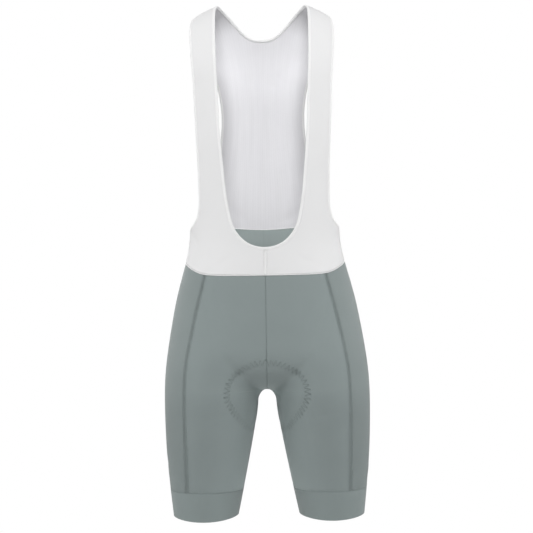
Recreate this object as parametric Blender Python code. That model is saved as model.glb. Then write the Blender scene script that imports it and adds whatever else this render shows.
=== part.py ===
"""Cycling bib shorts, men's medium, filled out as if worn, as a set of sewn cloth panels.

The tables and driving sizes are in millimetres and the meshes in metres.  +Z is up, the front
faces -Y and +X is the wearer's left.  The origin lies midway between the two straps, level with
their undersides at the top of the shoulders, where a wearer carries the garment.

Every panel is a patch of one figure surface.  A point of it is found from two numbers:
    turn     0 at the centre front or the inner leg, 2 at the side, 4 at the centre back
    station  the height of the section; above SHOULDER_BASE the sections lean over like a fan,
             and the station is the length measured on round the shoulder
"""

import math
from collections import namedtuple

import bmesh
import bpy
import numpy as np

MM = 0.001

# Driving sizes
CLOTH = 1.5  # wall of the knitted panels
TAPE = 2.1  # wall of the folded edge tape
TAPE_WIDTH = 5.0
HEM_WALL = 2.0  # the leg band is a double layer
SEAM_GAP = 0.3

SHOULDER_BASE = -140.0  # station where the sections begin to lean
SHOULDER_LENGTH = 210.0  # from there to the shoulder line, measured on the cloth
SHOULDER_LINE = SHOULDER_BASE + SHOULDER_LENGTH
CROTCH_Y = 8.0
CROTCH = -690.0
FRONT_RISE = 75.0  # height over which the centre front turns under to the crotch
BACK_RISE = 112.0
TURN_UNDER = 2.3  # its roundness: 2 is an ellipse
ARCH = 17.0  # height over which the inner legs part below the crotch
ARCH_SPREAD = 3.0  # how much slower they part at the front and back of the legs
LEGS_BEGIN = -480.0  # the trunk's oval turns into two legs between these
LEGS_ALONE = -650.0
BAND_TOP = -869.0
HEM = -916.0
HEM_DIP = 5.0
TRUNK_FULLNESS = 0.60  # length of the arcs' handles: 0.55 is an ellipse
LEG_FULLNESS = 0.56

# Sections of the figure: half widths in X and distances from the plane Y = 0
Section = namedtuple(
    "Section", "station front_x front_n back_x back_n side narrow side_y inner_x"
)
SECTIONS = [
    Section(-930, 114, 58, 113, 59, 169.5, 0, 0, 58),
    Section(-869, 110, 69, 110, 68, 176, 0, 0, 45),
    Section(-800, 106, 82, 106, 81, 182, 0, 1, 31),
    Section(-750, 102, 91, 103, 92, 184, 0, 3, 22),
    Section(-706, 98, 97, 99, 105, 184.5, 0, 5, 17),
    Section(-660, 92, 104, 92, 120, 182.5, 0, 6, 16),
    Section(-620, 84, 108, 84, 129, 177.5, 0, 6, 16),
    Section(-570, 75, 110, 76, 129, 169, 0, 5, 16),
    Section(-520, 68, 107, 70, 117, 158.5, 0, 3, 16),
    Section(-470, 62, 102, 64, 101, 144.7, 0, 1, 16),
    Section(-430, 60, 99, 60, 93, 135.5, 0, 0, 16),
    Section(-398, 60, 100, 60, 92, 133.5, 0, 0, 16),
    Section(-330, 60, 105, 60, 98, 137, 9, 0, 16),
    Section(-250, 60, 109, 60, 106, 144, 31, 0, 16),
    Section(-180, 60, 107, 60, 107, 150, 44, 0, 16),
    Section(-140, 60, 104, 60, 105, 152, 43, 0, 16),
    Section(-70, 60, 106, 60, 107, 158, 34, 0, 16),
    Section(0, 60, 124, 60, 125, 168, 18, 0, 16),
    Section(35, 60, 140.5, 60, 140.5, 175, 8, 0, 16),
    Section(55, 60, 148.5, 60, 148.5, 179, 3, 0, 16),
    Section(70, 60, 151, 60, 151, 180, 0, 0, 16),
    Section(85, 60, 148.5, 60, 148.5, 179, -3, 0, 16),
]

# Finished edges of the bib from the foot up, each point given by its distance from the centre
EdgePoint = namedtuple("EdgePoint", "x station")
NECK_FRONT = [
    EdgePoint(0, -437),
    EdgePoint(22, -433),
    EdgePoint(39, -422),
    EdgePoint(53, -403),
    EdgePoint(61, -375),
    EdgePoint(66, -345),
    EdgePoint(70, -305),
    EdgePoint(75, -245),
    EdgePoint(78, -180),
    EdgePoint(80.5, -110),
    EdgePoint(82, -40),
    EdgePoint(82.5, 10),
    EdgePoint(81.5, 45),
    EdgePoint(77.5, 70),
]
NECK_BACK = [
    EdgePoint(0, -25.5),
    EdgePoint(14, -23.5),
    EdgePoint(29, -13),
    EdgePoint(45, 8),
    EdgePoint(56.5, 26),
    EdgePoint(67, 44),
    EdgePoint(73.5, 57),
    EdgePoint(77.5, 70),
]
ARM_FRONT = [
    EdgePoint(133.5, -401),
    EdgePoint(120.5, -383),
    EdgePoint(116.5, -367),
    EdgePoint(115.5, -345),
    EdgePoint(116, -310),
    EdgePoint(118.5, -250),
    EdgePoint(121, -190),
    EdgePoint(123.5, -130),
    EdgePoint(126, -70),
    EdgePoint(128.5, -10),
    EdgePoint(129, 22),
    EdgePoint(127, 48),
    EdgePoint(122, 70),
]
ARM_BACK = [
    EdgePoint(133.5, -401),
    EdgePoint(121, -384),
    EdgePoint(107, -352),
    EdgePoint(92, -310),
    EdgePoint(81, -250),
    EdgePoint(77, -205),
    EdgePoint(78.5, -172),
    EdgePoint(84, -140),
    EdgePoint(92.5, -105),
    EdgePoint(102, -62),
    EdgePoint(110, -18),
    EdgePoint(116, 24),
    EdgePoint(122, 70),
]

# The seam between bib and shorts, which rises round the sides to the back
WaistPoint = namedtuple("WaistPoint", "turn station")
WAIST = [
    WaistPoint(0, -486),
    WaistPoint(0.5, -485.8),
    WaistPoint(0.88, -484.4),
    WaistPoint(1.08, -481.8),
    WaistPoint(1.3, -476),
    WaistPoint(1.65, -467),
    WaistPoint(2, -457.5),
    WaistPoint(2.35, -442.5),
    WaistPoint(2.65, -425),
    WaistPoint(2.9, -410),
    WaistPoint(3.1, -402.5),
    WaistPoint(3.3, -400),
    WaistPoint(3.6, -400.8),
    WaistPoint(4, -403),
]

# Seams between the shorts' front, side and back panels
SEAM_FRONT = [
    EdgePoint(144, -880),
    EdgePoint(145, -800),
    EdgePoint(145.5, -700),
    EdgePoint(142, -647),
    EdgePoint(133.5, -600),
    EdgePoint(117, -528),
    EdgePoint(104, -476),
    EdgePoint(100, -455),
]
SEAM_BACK = [
    EdgePoint(143, -880),
    EdgePoint(144, -800),
    EdgePoint(146, -700),
    EdgePoint(144, -650),
    EdgePoint(137, -600),
    EdgePoint(122, -528),
    EdgePoint(107, -460),
    EdgePoint(100, -415),
]

# Outline of the seat pad from the inner leg up
PAD_FRONT = [
    EdgePoint(20, -775),
    EdgePoint(35, -758),
    EdgePoint(50, -738),
    EdgePoint(64, -716),
    EdgePoint(70, -702),
    EdgePoint(70.5, -690),
    EdgePoint(66, -673),
    EdgePoint(56, -659),
    EdgePoint(40, -649),
    EdgePoint(18, -638),
]
PAD_BACK = [
    EdgePoint(20, -775),
    EdgePoint(36, -758),
    EdgePoint(54, -738),
    EdgePoint(72, -720),
    EdgePoint(85, -702),
    EdgePoint(92, -680),
    EdgePoint(93, -655),
    EdgePoint(87, -628),
    EdgePoint(74, -607),
    EdgePoint(60, -590),
    EdgePoint(48, -570),
]
PAD_TOP_FRONT = 0.5  # levels of the shorts at the pad's ends
PAD_TOP_BACK = 0.4
PAD_FOOT = 1.625
PAD_THICKNESS = 9.0
PAD_EDGE = 2.5
PAD_SLOPE = 24.0
PAD_GAP = 0.5
PAD_EDGE_GAP = 2.9  # the thin edge hangs this far off the cloth

# How finely the panels are cut into flat faces
FRONT_COLUMNS = 8
SIDE_COLUMNS = 3  # on each side of the side line
BACK_COLUMNS = 9
TRUNK_ROWS = 10
LEG_ROWS = 8
BAND_ROWS = 2
STRAP_COLUMNS = 4
BELLY_ROWS = 4  # rows beside the bib's side seam
FRONT_STRAP_ROWS = 18
BLADE_ROWS = 13
BACK_STRAP_ROWS = 5
BLADE_FOOT = -385.0

EDGE_CROWD = 0.065  # how much the rows crowd towards the ends of an edge
EDGE_SAMPLES = 241
TURN_STEP = 0.02  # small change of turn or level from which slopes are found

WHITE_KNIT = ("white_knit", (0.80, 0.80, 0.80), 0.75)
WHITE_MESH = ("white_mesh", (0.72, 0.72, 0.73), 0.80)
WHITE_TAPE = ("white_tape", (0.86, 0.86, 0.86), 0.60)
SAGE_KNIT = ("sage_knit", (0.225, 0.265, 0.260), 0.55)
SAGE_BAND = ("sage_band", (0.235, 0.275, 0.270), 0.60)
PAD_FOAM = ("pad_foam", (0.10, 0.12, 0.12), 0.85)


# ---------------------------------------------------------------- the figure


def natural_spline(knots, rows):
    """A smooth curve through rows of numbers, as a function of the knots' measure."""
    x, y = np.array(knots, float), np.array(rows, float)
    gaps, count = np.diff(x), len(x)
    matrix, right = np.eye(count), np.zeros_like(y)
    for i in range(1, count - 1):
        matrix[i, i - 1 : i + 2] = gaps[i - 1], 2 * (gaps[i - 1] + gaps[i]), gaps[i]
        right[i] = 6 * ((y[i + 1] - y[i]) / gaps[i] - (y[i] - y[i - 1]) / gaps[i - 1])
    bend = np.linalg.solve(matrix, right)

    def at(measure):
        i = int(np.clip(np.searchsorted(x, measure) - 1, 0, count - 2))
        a, b = (x[i + 1] - measure) / gaps[i], (measure - x[i]) / gaps[i]
        curved = ((a**3 - a) * bend[i] + (b**3 - b) * bend[i + 1]) * gaps[i] ** 2 / 6
        return a * y[i] + b * y[i + 1] + curved

    return at


section_at = natural_spline([s.station for s in SECTIONS], SECTIONS)

# The waist seam runs level across the centre lines, so its end points are mirrored there
WAIST_LINE = [(-WAIST[1].turn, WAIST[1].station), *WAIST, (8 - WAIST[-2].turn, WAIST[-2].station)]
waist_at = natural_spline([turn for turn, _ in WAIST_LINE], [(station,) for _, station in WAIST_LINE])


def arc(start, start_handle, end_handle, end, t):
    """A cubic arc between two points of a section."""
    points = np.array([start, start_handle, end_handle, end])
    return np.array([(1 - t) ** 3, 3 * t * (1 - t) ** 2, 3 * t * t * (1 - t), t**3]) @ points


def opened(distance, reach, power=2.0):
    """Grows from 0 to 1 over a reach along a rounded quarter, steeply at first."""
    share = 1 - min(max(distance / reach, 0), 1)
    return (1 - share**power) ** (1 / power)


def smooth_step(value, low, high):
    share = min(max((value - low) / (high - low), 0), 1)
    return share * share * (3 - 2 * share)


def trunk_section(turn, s):
    """The oval of the trunk, one smooth quarter from the centre to the side."""
    front = turn <= 2
    deep = -s.front_n if front else s.back_n
    side = s.side if front else s.side - max(s.narrow, 0)
    return arc(
        (0, deep),
        (TRUNK_FULLNESS * side, deep),
        (side, s.side_y + TRUNK_FULLNESS * (deep - s.side_y)),
        (side, s.side_y),
        turn / 2 if front else (4 - turn) / 2,
    )


def inner_quarter(step, top, s, rise):
    """The inner quarter of a leg, from the crotch's line to the front or back of the leg.

    A web joins the two legs up to the depth of the centre line, and beyond it the arch between
    them opens from its top at that depth.
    """
    web = opened(s.station - CROTCH, rise, TURN_UNDER)
    across = (1 - web) * (1 - math.cos(step * math.pi / 2)) + web * step
    depth = min(max(math.sqrt(1 - (1 - across) ** 2), web), 1)
    gap = 0.0
    if depth > web or web == 0:
        arch_top = CROTCH + rise * (1 - (1 - depth**TURN_UNDER) ** (1 / TURN_UNDER))
        gap = s.inner_x * opened(arch_top - s.station, ARCH * (1 + ARCH_SPREAD * depth))
    x = gap + (top[0] - gap) * across
    return np.array([x, CROTCH_Y + (top[1] - CROTCH_Y) * depth])


def leg_section(turn, s):
    """The oval of one leg, from its inner side round its front or back to its outer side."""
    front = turn <= 2
    top = np.array([s.front_x, -s.front_n] if front else [s.back_x, s.back_n])
    step = turn if front else 4 - turn
    if step <= 1:
        return inner_quarter(step, top, s, FRONT_RISE if front else BACK_RISE)
    side = np.array([s.side, s.side_y])
    return arc(
        top,
        top + (LEG_FULLNESS * (side - top)[0], 0),
        side + (0, LEG_FULLNESS * (top - side)[1]),
        side,
        step - 1,
    )


def figure(turn, station):
    """A point of the wearer's left half of the figure surface."""
    s = Section(station, *section_at(station)[1:])
    legs = 1 - smooth_step(station, LEGS_ALONE, LEGS_BEGIN)
    flat = np.zeros(2)
    if legs < 1:
        flat = flat + (1 - legs) * trunk_section(turn, s)
    if legs > 0:
        flat = flat + legs * leg_section(turn, s)
    if station <= SHOULDER_BASE:
        return np.array([flat[0], flat[1], station])
    lean = (station - SHOULDER_BASE) / SHOULDER_LENGTH * math.pi / 2
    y, z = flat[1] * math.cos(lean), SHOULDER_BASE + abs(flat[1]) * math.sin(lean)
    return np.array([flat[0], y, z])


def unit(vector):
    return vector / np.linalg.norm(vector)


def slopes(place, turn, other, step, front=None):
    """How far a surface moves for a small change of its turn and of its other number."""
    front = turn <= 2 if front is None else front
    low, high = (0, 2) if front else (2, 4)
    turn = min(max(turn, low), high)
    start, end = max(turn - TURN_STEP, low), min(turn + TURN_STEP, high)
    along_turn = (place(end, other) - place(start, other)) / (end - start)
    along_other = (place(turn, other + step) - place(turn, other - step)) / (2 * step)
    return along_turn, along_other


def figure_normal(turn, station, front=None):
    """The outward normal, kept in the centre plane on the centre line."""
    normal = np.cross(*slopes(figure, turn, station, 1.0, front))
    if turn <= 0 or turn >= 4:
        normal[0] = 0
    return unit(normal)


def turn_at(x, station, front):
    """The turn at which a section is x away from the centre plane."""
    low, high = 0.0, 2.0
    for _ in range(40):
        middle = (low + high) / 2
        if figure(middle if front else 4 - middle, station)[0] < x:
            low = middle
        else:
            high = middle
    return low if front else 4 - low


def waist(turn):
    """Height of the seam between bib and shorts."""
    return waist_at(turn)[0]


def hem(turn):
    return HEM - HEM_DIP * math.sin(math.pi * turn / 2) ** 2


# ---------------------------------------------------------------- sheets and walls

Sheet = namedtuple("Sheet", "points normals faces")


def grid_sheet(rows, ring=False):
    """A sheet from rows of (point, normal); a ring's last column joins its first."""
    width = len(rows[0])
    points = [point for row in rows for point, _ in row]
    normals = [normal for row in rows for _, normal in row]
    faces = []
    for i in range(len(rows) - 1):
        for j in range(width if ring else width - 1):
            k = (j + 1) % width
            faces.append((i * width + j, i * width + k, (i + 1) * width + k, (i + 1) * width + j))
    return Sheet(points, normals, faces)


def stepped_sheet(rows, turned=False):
    """A sheet from rows that start together and may differ in length.

    A turned sheet faces the other way and its faces are split along the other diagonal.
    """
    starts = np.cumsum([0] + [len(row) for row in rows])
    faces = []
    for i, (row, following) in enumerate(zip(rows, rows[1:])):
        a, b, shared = int(starts[i]), int(starts[i + 1]), min(len(row), len(following)) - 1
        faces += [(a + k, a + k + 1, b + k + 1, b + k) for k in range(shared)]
        faces += [(a + shared, b + k + 1, b + k) for k in range(shared, len(following) - 1)]
        faces += [(a + k, a + k + 1, b + shared) for k in range(shared, len(row) - 1)]
    if turned:
        faces = [(face[1], face[0], *face[:1:-1]) for face in faces]
    flat = [place for row in rows for place in row]
    return Sheet([point for point, _ in flat], [normal for _, normal in flat], faces)


def mirrored(sheet):
    flip = np.array([-1, 1, 1])
    return Sheet(
        [p * flip for p in sheet.points],
        [n * flip for n in sheet.normals],
        [(face[0], *face[:0:-1]) for face in sheet.faces],
    )


def joined(*sheets):
    """Sheets made one, with the points that they share merged."""
    points, normals, faces, found = [], [], [], {}
    for sheet in sheets:
        index = []
        for point, normal in zip(sheet.points, sheet.normals):
            key = tuple(np.round(point, 3) + 0.0)
            if key not in found:
                found[key] = len(points)
                points.append(point)
                normals.append(normal)
            index.append(found[key])
        faces += [tuple(index[i] for i in face) for face in sheet.faces]
    return Sheet(points, normals, faces)


def rim(sheet):
    """The outer sides of a sheet's faces, each as a pair of points."""
    sides = {(f[i], f[(i + 1) % len(f)]) for f in sheet.faces for i in range(len(f))}
    return sorted((a, b) for a, b in sides if (b, a) not in sides)


def material(finish):
    name, colour, roughness = finish
    made = bpy.data.materials.get(name) or bpy.data.materials.new(name)
    made.use_nodes = True
    shader = made.node_tree.nodes["Principled BSDF"]
    shader.inputs["Base Color"].default_value = (*colour, 1)
    shader.inputs["Roughness"].default_value = roughness
    shader.inputs["Metallic"].default_value = 0
    return made


def wall(name, sheet, thickness, finish, proud=0.0):
    """A closed wall under a sheet; thickness is one number, or one for each point."""
    depths = np.broadcast_to(thickness, len(sheet.points))
    mesh = bmesh.new()
    outer, inner = [], []
    for point, normal, depth in zip(sheet.points, sheet.normals, depths):
        outer.append(mesh.verts.new((point + normal * proud) * MM))
        inner.append(mesh.verts.new((point - normal * (depth - proud)) * MM))
    for first, *others in sheet.faces:
        for second, third in zip(others, others[1:]):
            mesh.faces.new((outer[first], outer[second], outer[third]))
            mesh.faces.new((inner[third], inner[second], inner[first]))
    for a, b in rim(sheet):
        mesh.faces.new((outer[b], outer[a], inner[a], inner[b]))
    bmesh.ops.recalc_face_normals(mesh, faces=mesh.faces)
    data = bpy.data.meshes.new(name)
    mesh.to_mesh(data)
    mesh.free()
    data.shade_smooth()
    data.set_sharp_from_angle(angle=math.radians(40))
    data.materials.append(material(finish))
    made = bpy.data.objects.new(name, data)
    bpy.context.scene.collection.objects.link(made)


def pair(name, sheet, thickness, finish, proud=0.0):
    """The same piece for the wearer's left and, mirrored, for the right."""
    wall(name + "_l", sheet, thickness, finish, proud)
    wall(name + "_r", mirrored(sheet), thickness, finish, proud)


# ---------------------------------------------------------------- shorts


def short_station(turn, level):
    """Level 0 is the waist seam, 1 the crotch's height and 2 the seam of the leg band.

    The levels crowd towards the crotch on the inner side, where the surface bends most.
    """
    power = 1.5 + math.cos(turn * math.pi / 2) / 2
    if level <= 1:
        return waist(turn) + (CROTCH - waist(turn)) * (1 - (1 - level) ** power)
    return CROTCH + (BAND_TOP - CROTCH) * (level - 1) ** power


def short_point(turn, level):
    return figure(turn, short_station(turn, level))


def short_place(turn, level):
    """A point of the shorts and its outward normal."""
    if level == 1 and turn in (0, 4):
        return short_point(turn, level), np.array([0, 0, -1.0])
    along_turn, along_level = slopes(short_point, turn, level, TURN_STEP)
    normal = np.cross(along_level, along_turn)
    if turn in (0, 4):
        normal[0 if level < 1 else 1] = 0
    return short_point(turn, level), unit(normal)


def line_turns(points, front):
    """A function from level to the turn where a line crosses it."""
    points = sorted(points, key=lambda p: p.station)
    x_at = natural_spline([p.station for p in points], [(p.x,) for p in points])

    def turn_of(level):
        turn = 1.3 if front else 2.7
        for _ in range(6):
            station = short_station(turn, level)
            turn = turn_at(x_at(station)[0], station, front)
        return turn

    return turn_of


front_seam = line_turns(SEAM_FRONT, True)
back_seam = line_turns(SEAM_BACK, False)


def spread(stops, counts):
    """Turns from the first stop to the last, with a count of equal steps between each two."""
    turns = [stops[0]]
    for start, end, count in zip(stops, stops[1:], counts):
        turns += [start + (end - start) * k / count for k in range(1, count + 1)]
    return turns


LEVELS = [i / TRUNK_ROWS for i in range(TRUNK_ROWS)]
LEVELS += [1 + i / LEG_ROWS for i in range(LEG_ROWS + 1)]


def seamed(place, turn, level, across):
    """Moves a panel's edge back from its seams by half a gap."""
    point, normal = place[0].copy(), place[1]
    if turn in (0, 4) and level <= 1:
        point[0] += SEAM_GAP / 2
    if turn in (0, 4) and level >= 1:
        point[1] += SEAM_GAP / 2 * (-1 if turn == 0 else 1)
    point[2] += SEAM_GAP / 2 * ((level == LEVELS[-1]) - (level == LEVELS[0]))
    return point + across * SEAM_GAP / 2, normal


def short_panel(stops_at, counts):
    """A panel of the shorts between the turns that stops_at gives for each level."""
    rows = []
    for level in LEVELS:
        turns = spread(stops_at(level), counts)
        places = [short_place(turn, level) for turn in turns]
        row = []
        for j, (turn, place) in enumerate(zip(turns, places)):
            across = np.zeros(3)
            if j == 0 and turn > 0:
                across = unit(places[1][0] - place[0])
            if j == len(turns) - 1 and turn < 4:
                across = unit(places[-2][0] - place[0])
            row.append(seamed(place, turn, level, across))
        rows.append(row)
    return grid_sheet(rows)


def shorts():
    front = short_panel(lambda level: (0, front_seam(level)), (FRONT_COLUMNS,))
    side = short_panel(lambda level: (front_seam(level), 2, back_seam(level)), (SIDE_COLUMNS,) * 2)
    back = short_panel(lambda level: (back_seam(level), 4), (BACK_COLUMNS,))
    pair("short_front", front, CLOTH, SAGE_KNIT)
    pair("short_side", side, CLOTH, SAGE_KNIT)
    pair("short_back", back, CLOTH, SAGE_KNIT)


def leg_bands():
    """The doubled bands round the legs, set on the same columns as the panels above."""
    stops, counts = (0, front_seam(2), 2, back_seam(2), 4), (SIDE_COLUMNS,) * 2
    turns = spread(stops, (FRONT_COLUMNS, *counts, BACK_COLUMNS))[:-1]
    top, rows = BAND_TOP - SEAM_GAP / 2, []
    for i in range(BAND_ROWS + 1):
        row = []
        for turn in turns:
            station = top + (hem(turn) - top) * i / BAND_ROWS
            normal = unit(np.cross(*slopes(figure, turn, station, 1.0)))
            row.append((figure(turn, station), normal))
        rows.append(row)
    pair("leg_band", grid_sheet(rows, ring=True), HEM_WALL, SAGE_BAND, (HEM_WALL - CLOTH) / 2)


# ---------------------------------------------------------------- bib


class Edge:
    """A finished edge of the bib, a smooth line on the figure from its foot to the shoulder."""

    def __init__(self, points, front, side, rows, crowd):
        self.front, self.side = front, side
        self.shares = [k / rows - crowd * math.sin(math.tau * k / rows) for k in range(rows + 1)]
        pairs = [np.array([turn_at(p.x, p.station, front), p.station]) for p in points]
        self.foot_turn = 2.0 if points[0].x else 4.0 * (not front)
        pairs[0][0] = self.foot_turn
        # The point before the foot mirrors the next one, so that the edge is level at its foot
        pairs.insert(0, 2 * np.array([self.foot_turn, 0]) - pairs[1] * (1, -1))
        spans = [np.linalg.norm((q - p) * (70, 1)) for p, q in zip(pairs, pairs[1:])]
        knots = np.concatenate([[0], np.cumsum(spans)])
        self.curve = natural_spline(knots, pairs)
        self.samples = np.linspace(knots[1], knots[-1], EDGE_SAMPLES)
        steps = np.diff([figure(*self.curve(k)) for k in self.samples], axis=0)
        self.lengths = np.concatenate([[0], np.cumsum(np.linalg.norm(steps, axis=1))])

    def at(self, distance):
        """The turn and station at a distance from the foot, in millimetres."""
        turn, station = self.curve(np.interp(distance, self.lengths, self.samples))
        low, high = (0, 2) if self.front else (2, 4)
        return np.array([min(max(turn, low), high), station])

    def inset(self, share, width):
        """The turn and station a width in from the edge, at a share of its length."""
        distance = self.lengths[-1] * share
        low, high = max(distance - 1, 0), min(distance + 1, self.lengths[-1])
        direction = unit(figure(*self.at(high)) - figure(*self.at(low)))
        turn, station = self.at(distance)
        along_turn, along_station = slopes(figure, turn, station, 1.0, self.front)
        inward = self.side * np.cross(direction, unit(np.cross(along_turn, along_station)))
        across = np.column_stack([along_turn, along_station])
        step = np.linalg.lstsq(across, inward * width, rcond=None)[0]
        moved = np.array([turn, station]) + step
        if share == 0:
            moved[0] = self.foot_turn
        if share == 1:
            moved[1] = SHOULDER_LINE
        return moved

    def line(self):
        """The line where the tape's inner side meets the panel, from the foot up."""
        points = [self.inset(share, TAPE_WIDTH + SEAM_GAP) for share in self.shares]
        points[-1][1] -= SEAM_GAP / 2
        return points

    def place(self, share, width):
        turn, station = self.inset(share, width)
        return figure(turn, station), figure_normal(turn, station, self.front)


NECK_COLUMNS = {"front": FRONT_COLUMNS - STRAP_COLUMNS, "back": BACK_COLUMNS - STRAP_COLUMNS}
BLADE_TOP = SIDE_COLUMNS + BLADE_ROWS
EDGES = {
    ("neck", "front"): Edge(NECK_FRONT, True, 1, NECK_COLUMNS["front"] + FRONT_STRAP_ROWS, EDGE_CROWD),
    ("arm", "front"): Edge(ARM_FRONT, True, -1, SIDE_COLUMNS + FRONT_STRAP_ROWS, EDGE_CROWD),
    ("neck", "back"): Edge(NECK_BACK, False, -1, NECK_COLUMNS["back"] + BACK_STRAP_ROWS, 0.0),
    ("arm", "back"): Edge(ARM_BACK, False, 1, BLADE_TOP + BACK_STRAP_ROWS, EDGE_CROWD),
}


def straight(start, end, count):
    return [np.array(start) + (np.array(end) - start) * k / count for k in range(count + 1)]


def patch(bottom, top, inner, outer):
    """Rows of (turn, station) filling a four-sided patch, from the points on its sides."""
    rows = []
    for i in range(len(inner)):
        v = i / (len(inner) - 1)
        row = []
        for j in range(len(bottom)):
            u = j / (len(bottom) - 1)
            sides = (1 - v) * bottom[j] + v * top[j] + (1 - u) * inner[i] + u * outer[i]
            low = (1 - u) * bottom[0] + u * bottom[-1]
            high = (1 - u) * top[0] + u * top[-1]
            row.append(sides - (1 - v) * low - v * high)
        rows.append(row)
    return rows


def bib_sheet(rows, front):
    """A sheet on the figure, drawn back from the centre and side seams by half a gap."""
    placed = []
    for row in rows:
        line = []
        for turn, station in row:
            turn = round(turn, 9)
            point = figure(turn, station)
            if turn == 0:
                point[0] += SEAM_GAP / 2
            if turn == 2:
                point[1] += SEAM_GAP / 2 * (-1 if front else 1)
            line.append((point, figure_normal(turn, station, front)))
        placed.append(line)
    return grid_sheet(placed)


def waist_feet(front):
    """Where the bib's columns stand on the waist seam, on those of the panels below."""
    seam, columns = (front_seam(0), FRONT_COLUMNS) if front else (back_seam(0), BACK_COLUMNS)
    turns = spread((0.0 if front else 4.0, seam, 2.0), (columns, SIDE_COLUMNS))
    return [np.array([turn, waist(turn) + SEAM_GAP / 2]) for turn in turns]


def between_seams(bottom, top):
    """A patch with straight sides, from the waist seam to the line above it."""
    sides = (straight(bottom[i], top[i], BELLY_ROWS) for i in (0, -1))
    return patch(bottom, top, *sides)


def bib_front():
    """One half of the front: the belly, whose columns end on both edges, then the strap."""
    neck, arm = EDGES["neck", "front"].line(), EDGES["arm", "front"].line()
    first, last = NECK_COLUMNS["front"], FRONT_COLUMNS
    base = straight(neck[first], arm[SIDE_COLUMNS], STRAP_COLUMNS)
    top = neck[:first] + base + arm[:SIDE_COLUMNS][::-1]
    shoulder = straight(neck[-1], arm[-1], STRAP_COLUMNS)
    belly = between_seams(waist_feet(True), top)
    strap = patch(top[first : last + 1], shoulder, neck[first:], arm[SIDE_COLUMNS:])
    return joined(bib_sheet(belly, True), bib_sheet(strap, True))


def bib_back():
    """One half of the back: the lower back, the blade up to the neckline, then the strap."""
    neck, arm = EDGES["neck", "back"].line(), EDGES["arm", "back"].line()
    first = NECK_COLUMNS["back"]
    base = straight((4.0, BLADE_FOOT), arm[SIDE_COLUMNS], BACK_COLUMNS)
    yoke = neck[:first] + straight(neck[first], arm[BLADE_TOP], STRAP_COLUMNS)
    shoulder = straight(neck[-1], arm[-1], STRAP_COLUMNS)
    lower = between_seams(waist_feet(False), base + arm[:SIDE_COLUMNS][::-1])
    spine = straight(base[0], yoke[0], BLADE_ROWS)
    blade = patch(base, yoke, spine, arm[SIDE_COLUMNS : BLADE_TOP + 1])
    strap = patch(yoke[first:], shoulder, neck[first:], arm[BLADE_TOP:])
    return joined(*(bib_sheet(rows, False) for rows in (lower, blade, strap)))


def bib():
    pair("bib_front", bib_front(), CLOTH, WHITE_KNIT)
    back = bib_back()
    wall("bib_back", joined(back, mirrored(back)), CLOTH, WHITE_MESH)


def tape_rows(kind):
    """Rows of folded tape up the front edge, over the shoulder and down the back edge."""
    front, back = EDGES[kind, "front"], EDGES[kind, "back"]
    spots = [(front, share) for share in front.shares]
    spots += [(back, share) for share in back.shares[-2::-1]]
    return [[edge.place(share, width) for width in (0, TAPE_WIDTH)] for edge, share in spots]


def tapes():
    """One tape round the neck opening and one round each armhole."""
    proud = (TAPE - CLOTH) / 2
    half = grid_sheet(tape_rows("neck"))
    wall("neck_tape", joined(half, mirrored(half)), TAPE, WHITE_TAPE, proud)
    ring = [list(column) for column in zip(*tape_rows("arm")[:-1])]
    pair("arm_tape", grid_sheet(ring, ring=True), TAPE, WHITE_TAPE, proud)


# ---------------------------------------------------------------- seat pad


def pad_rows(front):
    """Rows of half the pad on the shorts' own columns, each ending on the pad's outline."""
    centre, seam, count = (0, front_seam, FRONT_COLUMNS) if front else (4, back_seam, BACK_COLUMNS)
    outline = line_turns(PAD_FRONT if front else PAD_BACK, front)
    top = PAD_TOP_FRONT if front else PAD_TOP_BACK
    rows = []
    for level in LEVELS:
        if not top <= level <= PAD_FOOT:
            continue
        columns = [short_place(turn, level) for turn in spread((centre, seam(level)), (count,))]
        reach = round((outline(level) - centre) / (seam(level) - centre) * count)
        row = []
        for step, (point, normal) in enumerate(columns[: reach + 1]):
            on_outline = step == reach or level in (top, PAD_FOOT)
            gap = PAD_EDGE_GAP if on_outline else PAD_GAP
            row.append((point - normal * (CLOTH + gap), normal))
        rows.append(row)
    return rows


def seat_pad():
    """The stitched-in pad, thick in the middle and thin at its outline."""
    half = joined(stepped_sheet(pad_rows(True)), stepped_sheet(pad_rows(False), turned=True))
    pad = joined(half, mirrored(half))
    outline = np.array([pad.points[a] for a, _ in rim(pad)])
    thickness = []
    for point in pad.points:
        inward = np.min(np.linalg.norm(outline - point, axis=1))
        thickness.append(PAD_EDGE + (PAD_THICKNESS - PAD_EDGE) * smooth_step(inward, 0, PAD_SLOPE))
    wall("seat_pad", pad, thickness, PAD_FOAM)


def build():
    for old in list(bpy.data.objects):
        bpy.data.objects.remove(old)
    bib()
    tapes()
    shorts()
    leg_bands()
    seat_pad()


build()
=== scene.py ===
import math

import bmesh
import bpy
import numpy as np
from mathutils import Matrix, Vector


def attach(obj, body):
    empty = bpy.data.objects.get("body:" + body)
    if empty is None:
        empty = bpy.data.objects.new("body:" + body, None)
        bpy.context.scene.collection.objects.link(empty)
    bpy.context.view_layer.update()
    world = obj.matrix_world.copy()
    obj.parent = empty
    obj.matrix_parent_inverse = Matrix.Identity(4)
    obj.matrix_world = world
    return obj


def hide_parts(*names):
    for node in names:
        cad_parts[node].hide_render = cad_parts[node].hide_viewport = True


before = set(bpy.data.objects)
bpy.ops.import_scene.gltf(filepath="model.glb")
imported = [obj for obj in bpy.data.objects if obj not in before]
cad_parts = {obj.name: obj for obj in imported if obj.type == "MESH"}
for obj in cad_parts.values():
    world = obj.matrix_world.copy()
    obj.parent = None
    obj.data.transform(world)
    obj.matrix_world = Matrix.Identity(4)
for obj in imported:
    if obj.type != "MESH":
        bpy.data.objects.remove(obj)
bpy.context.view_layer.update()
print("frame:", len(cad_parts), "nodes")

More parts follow.
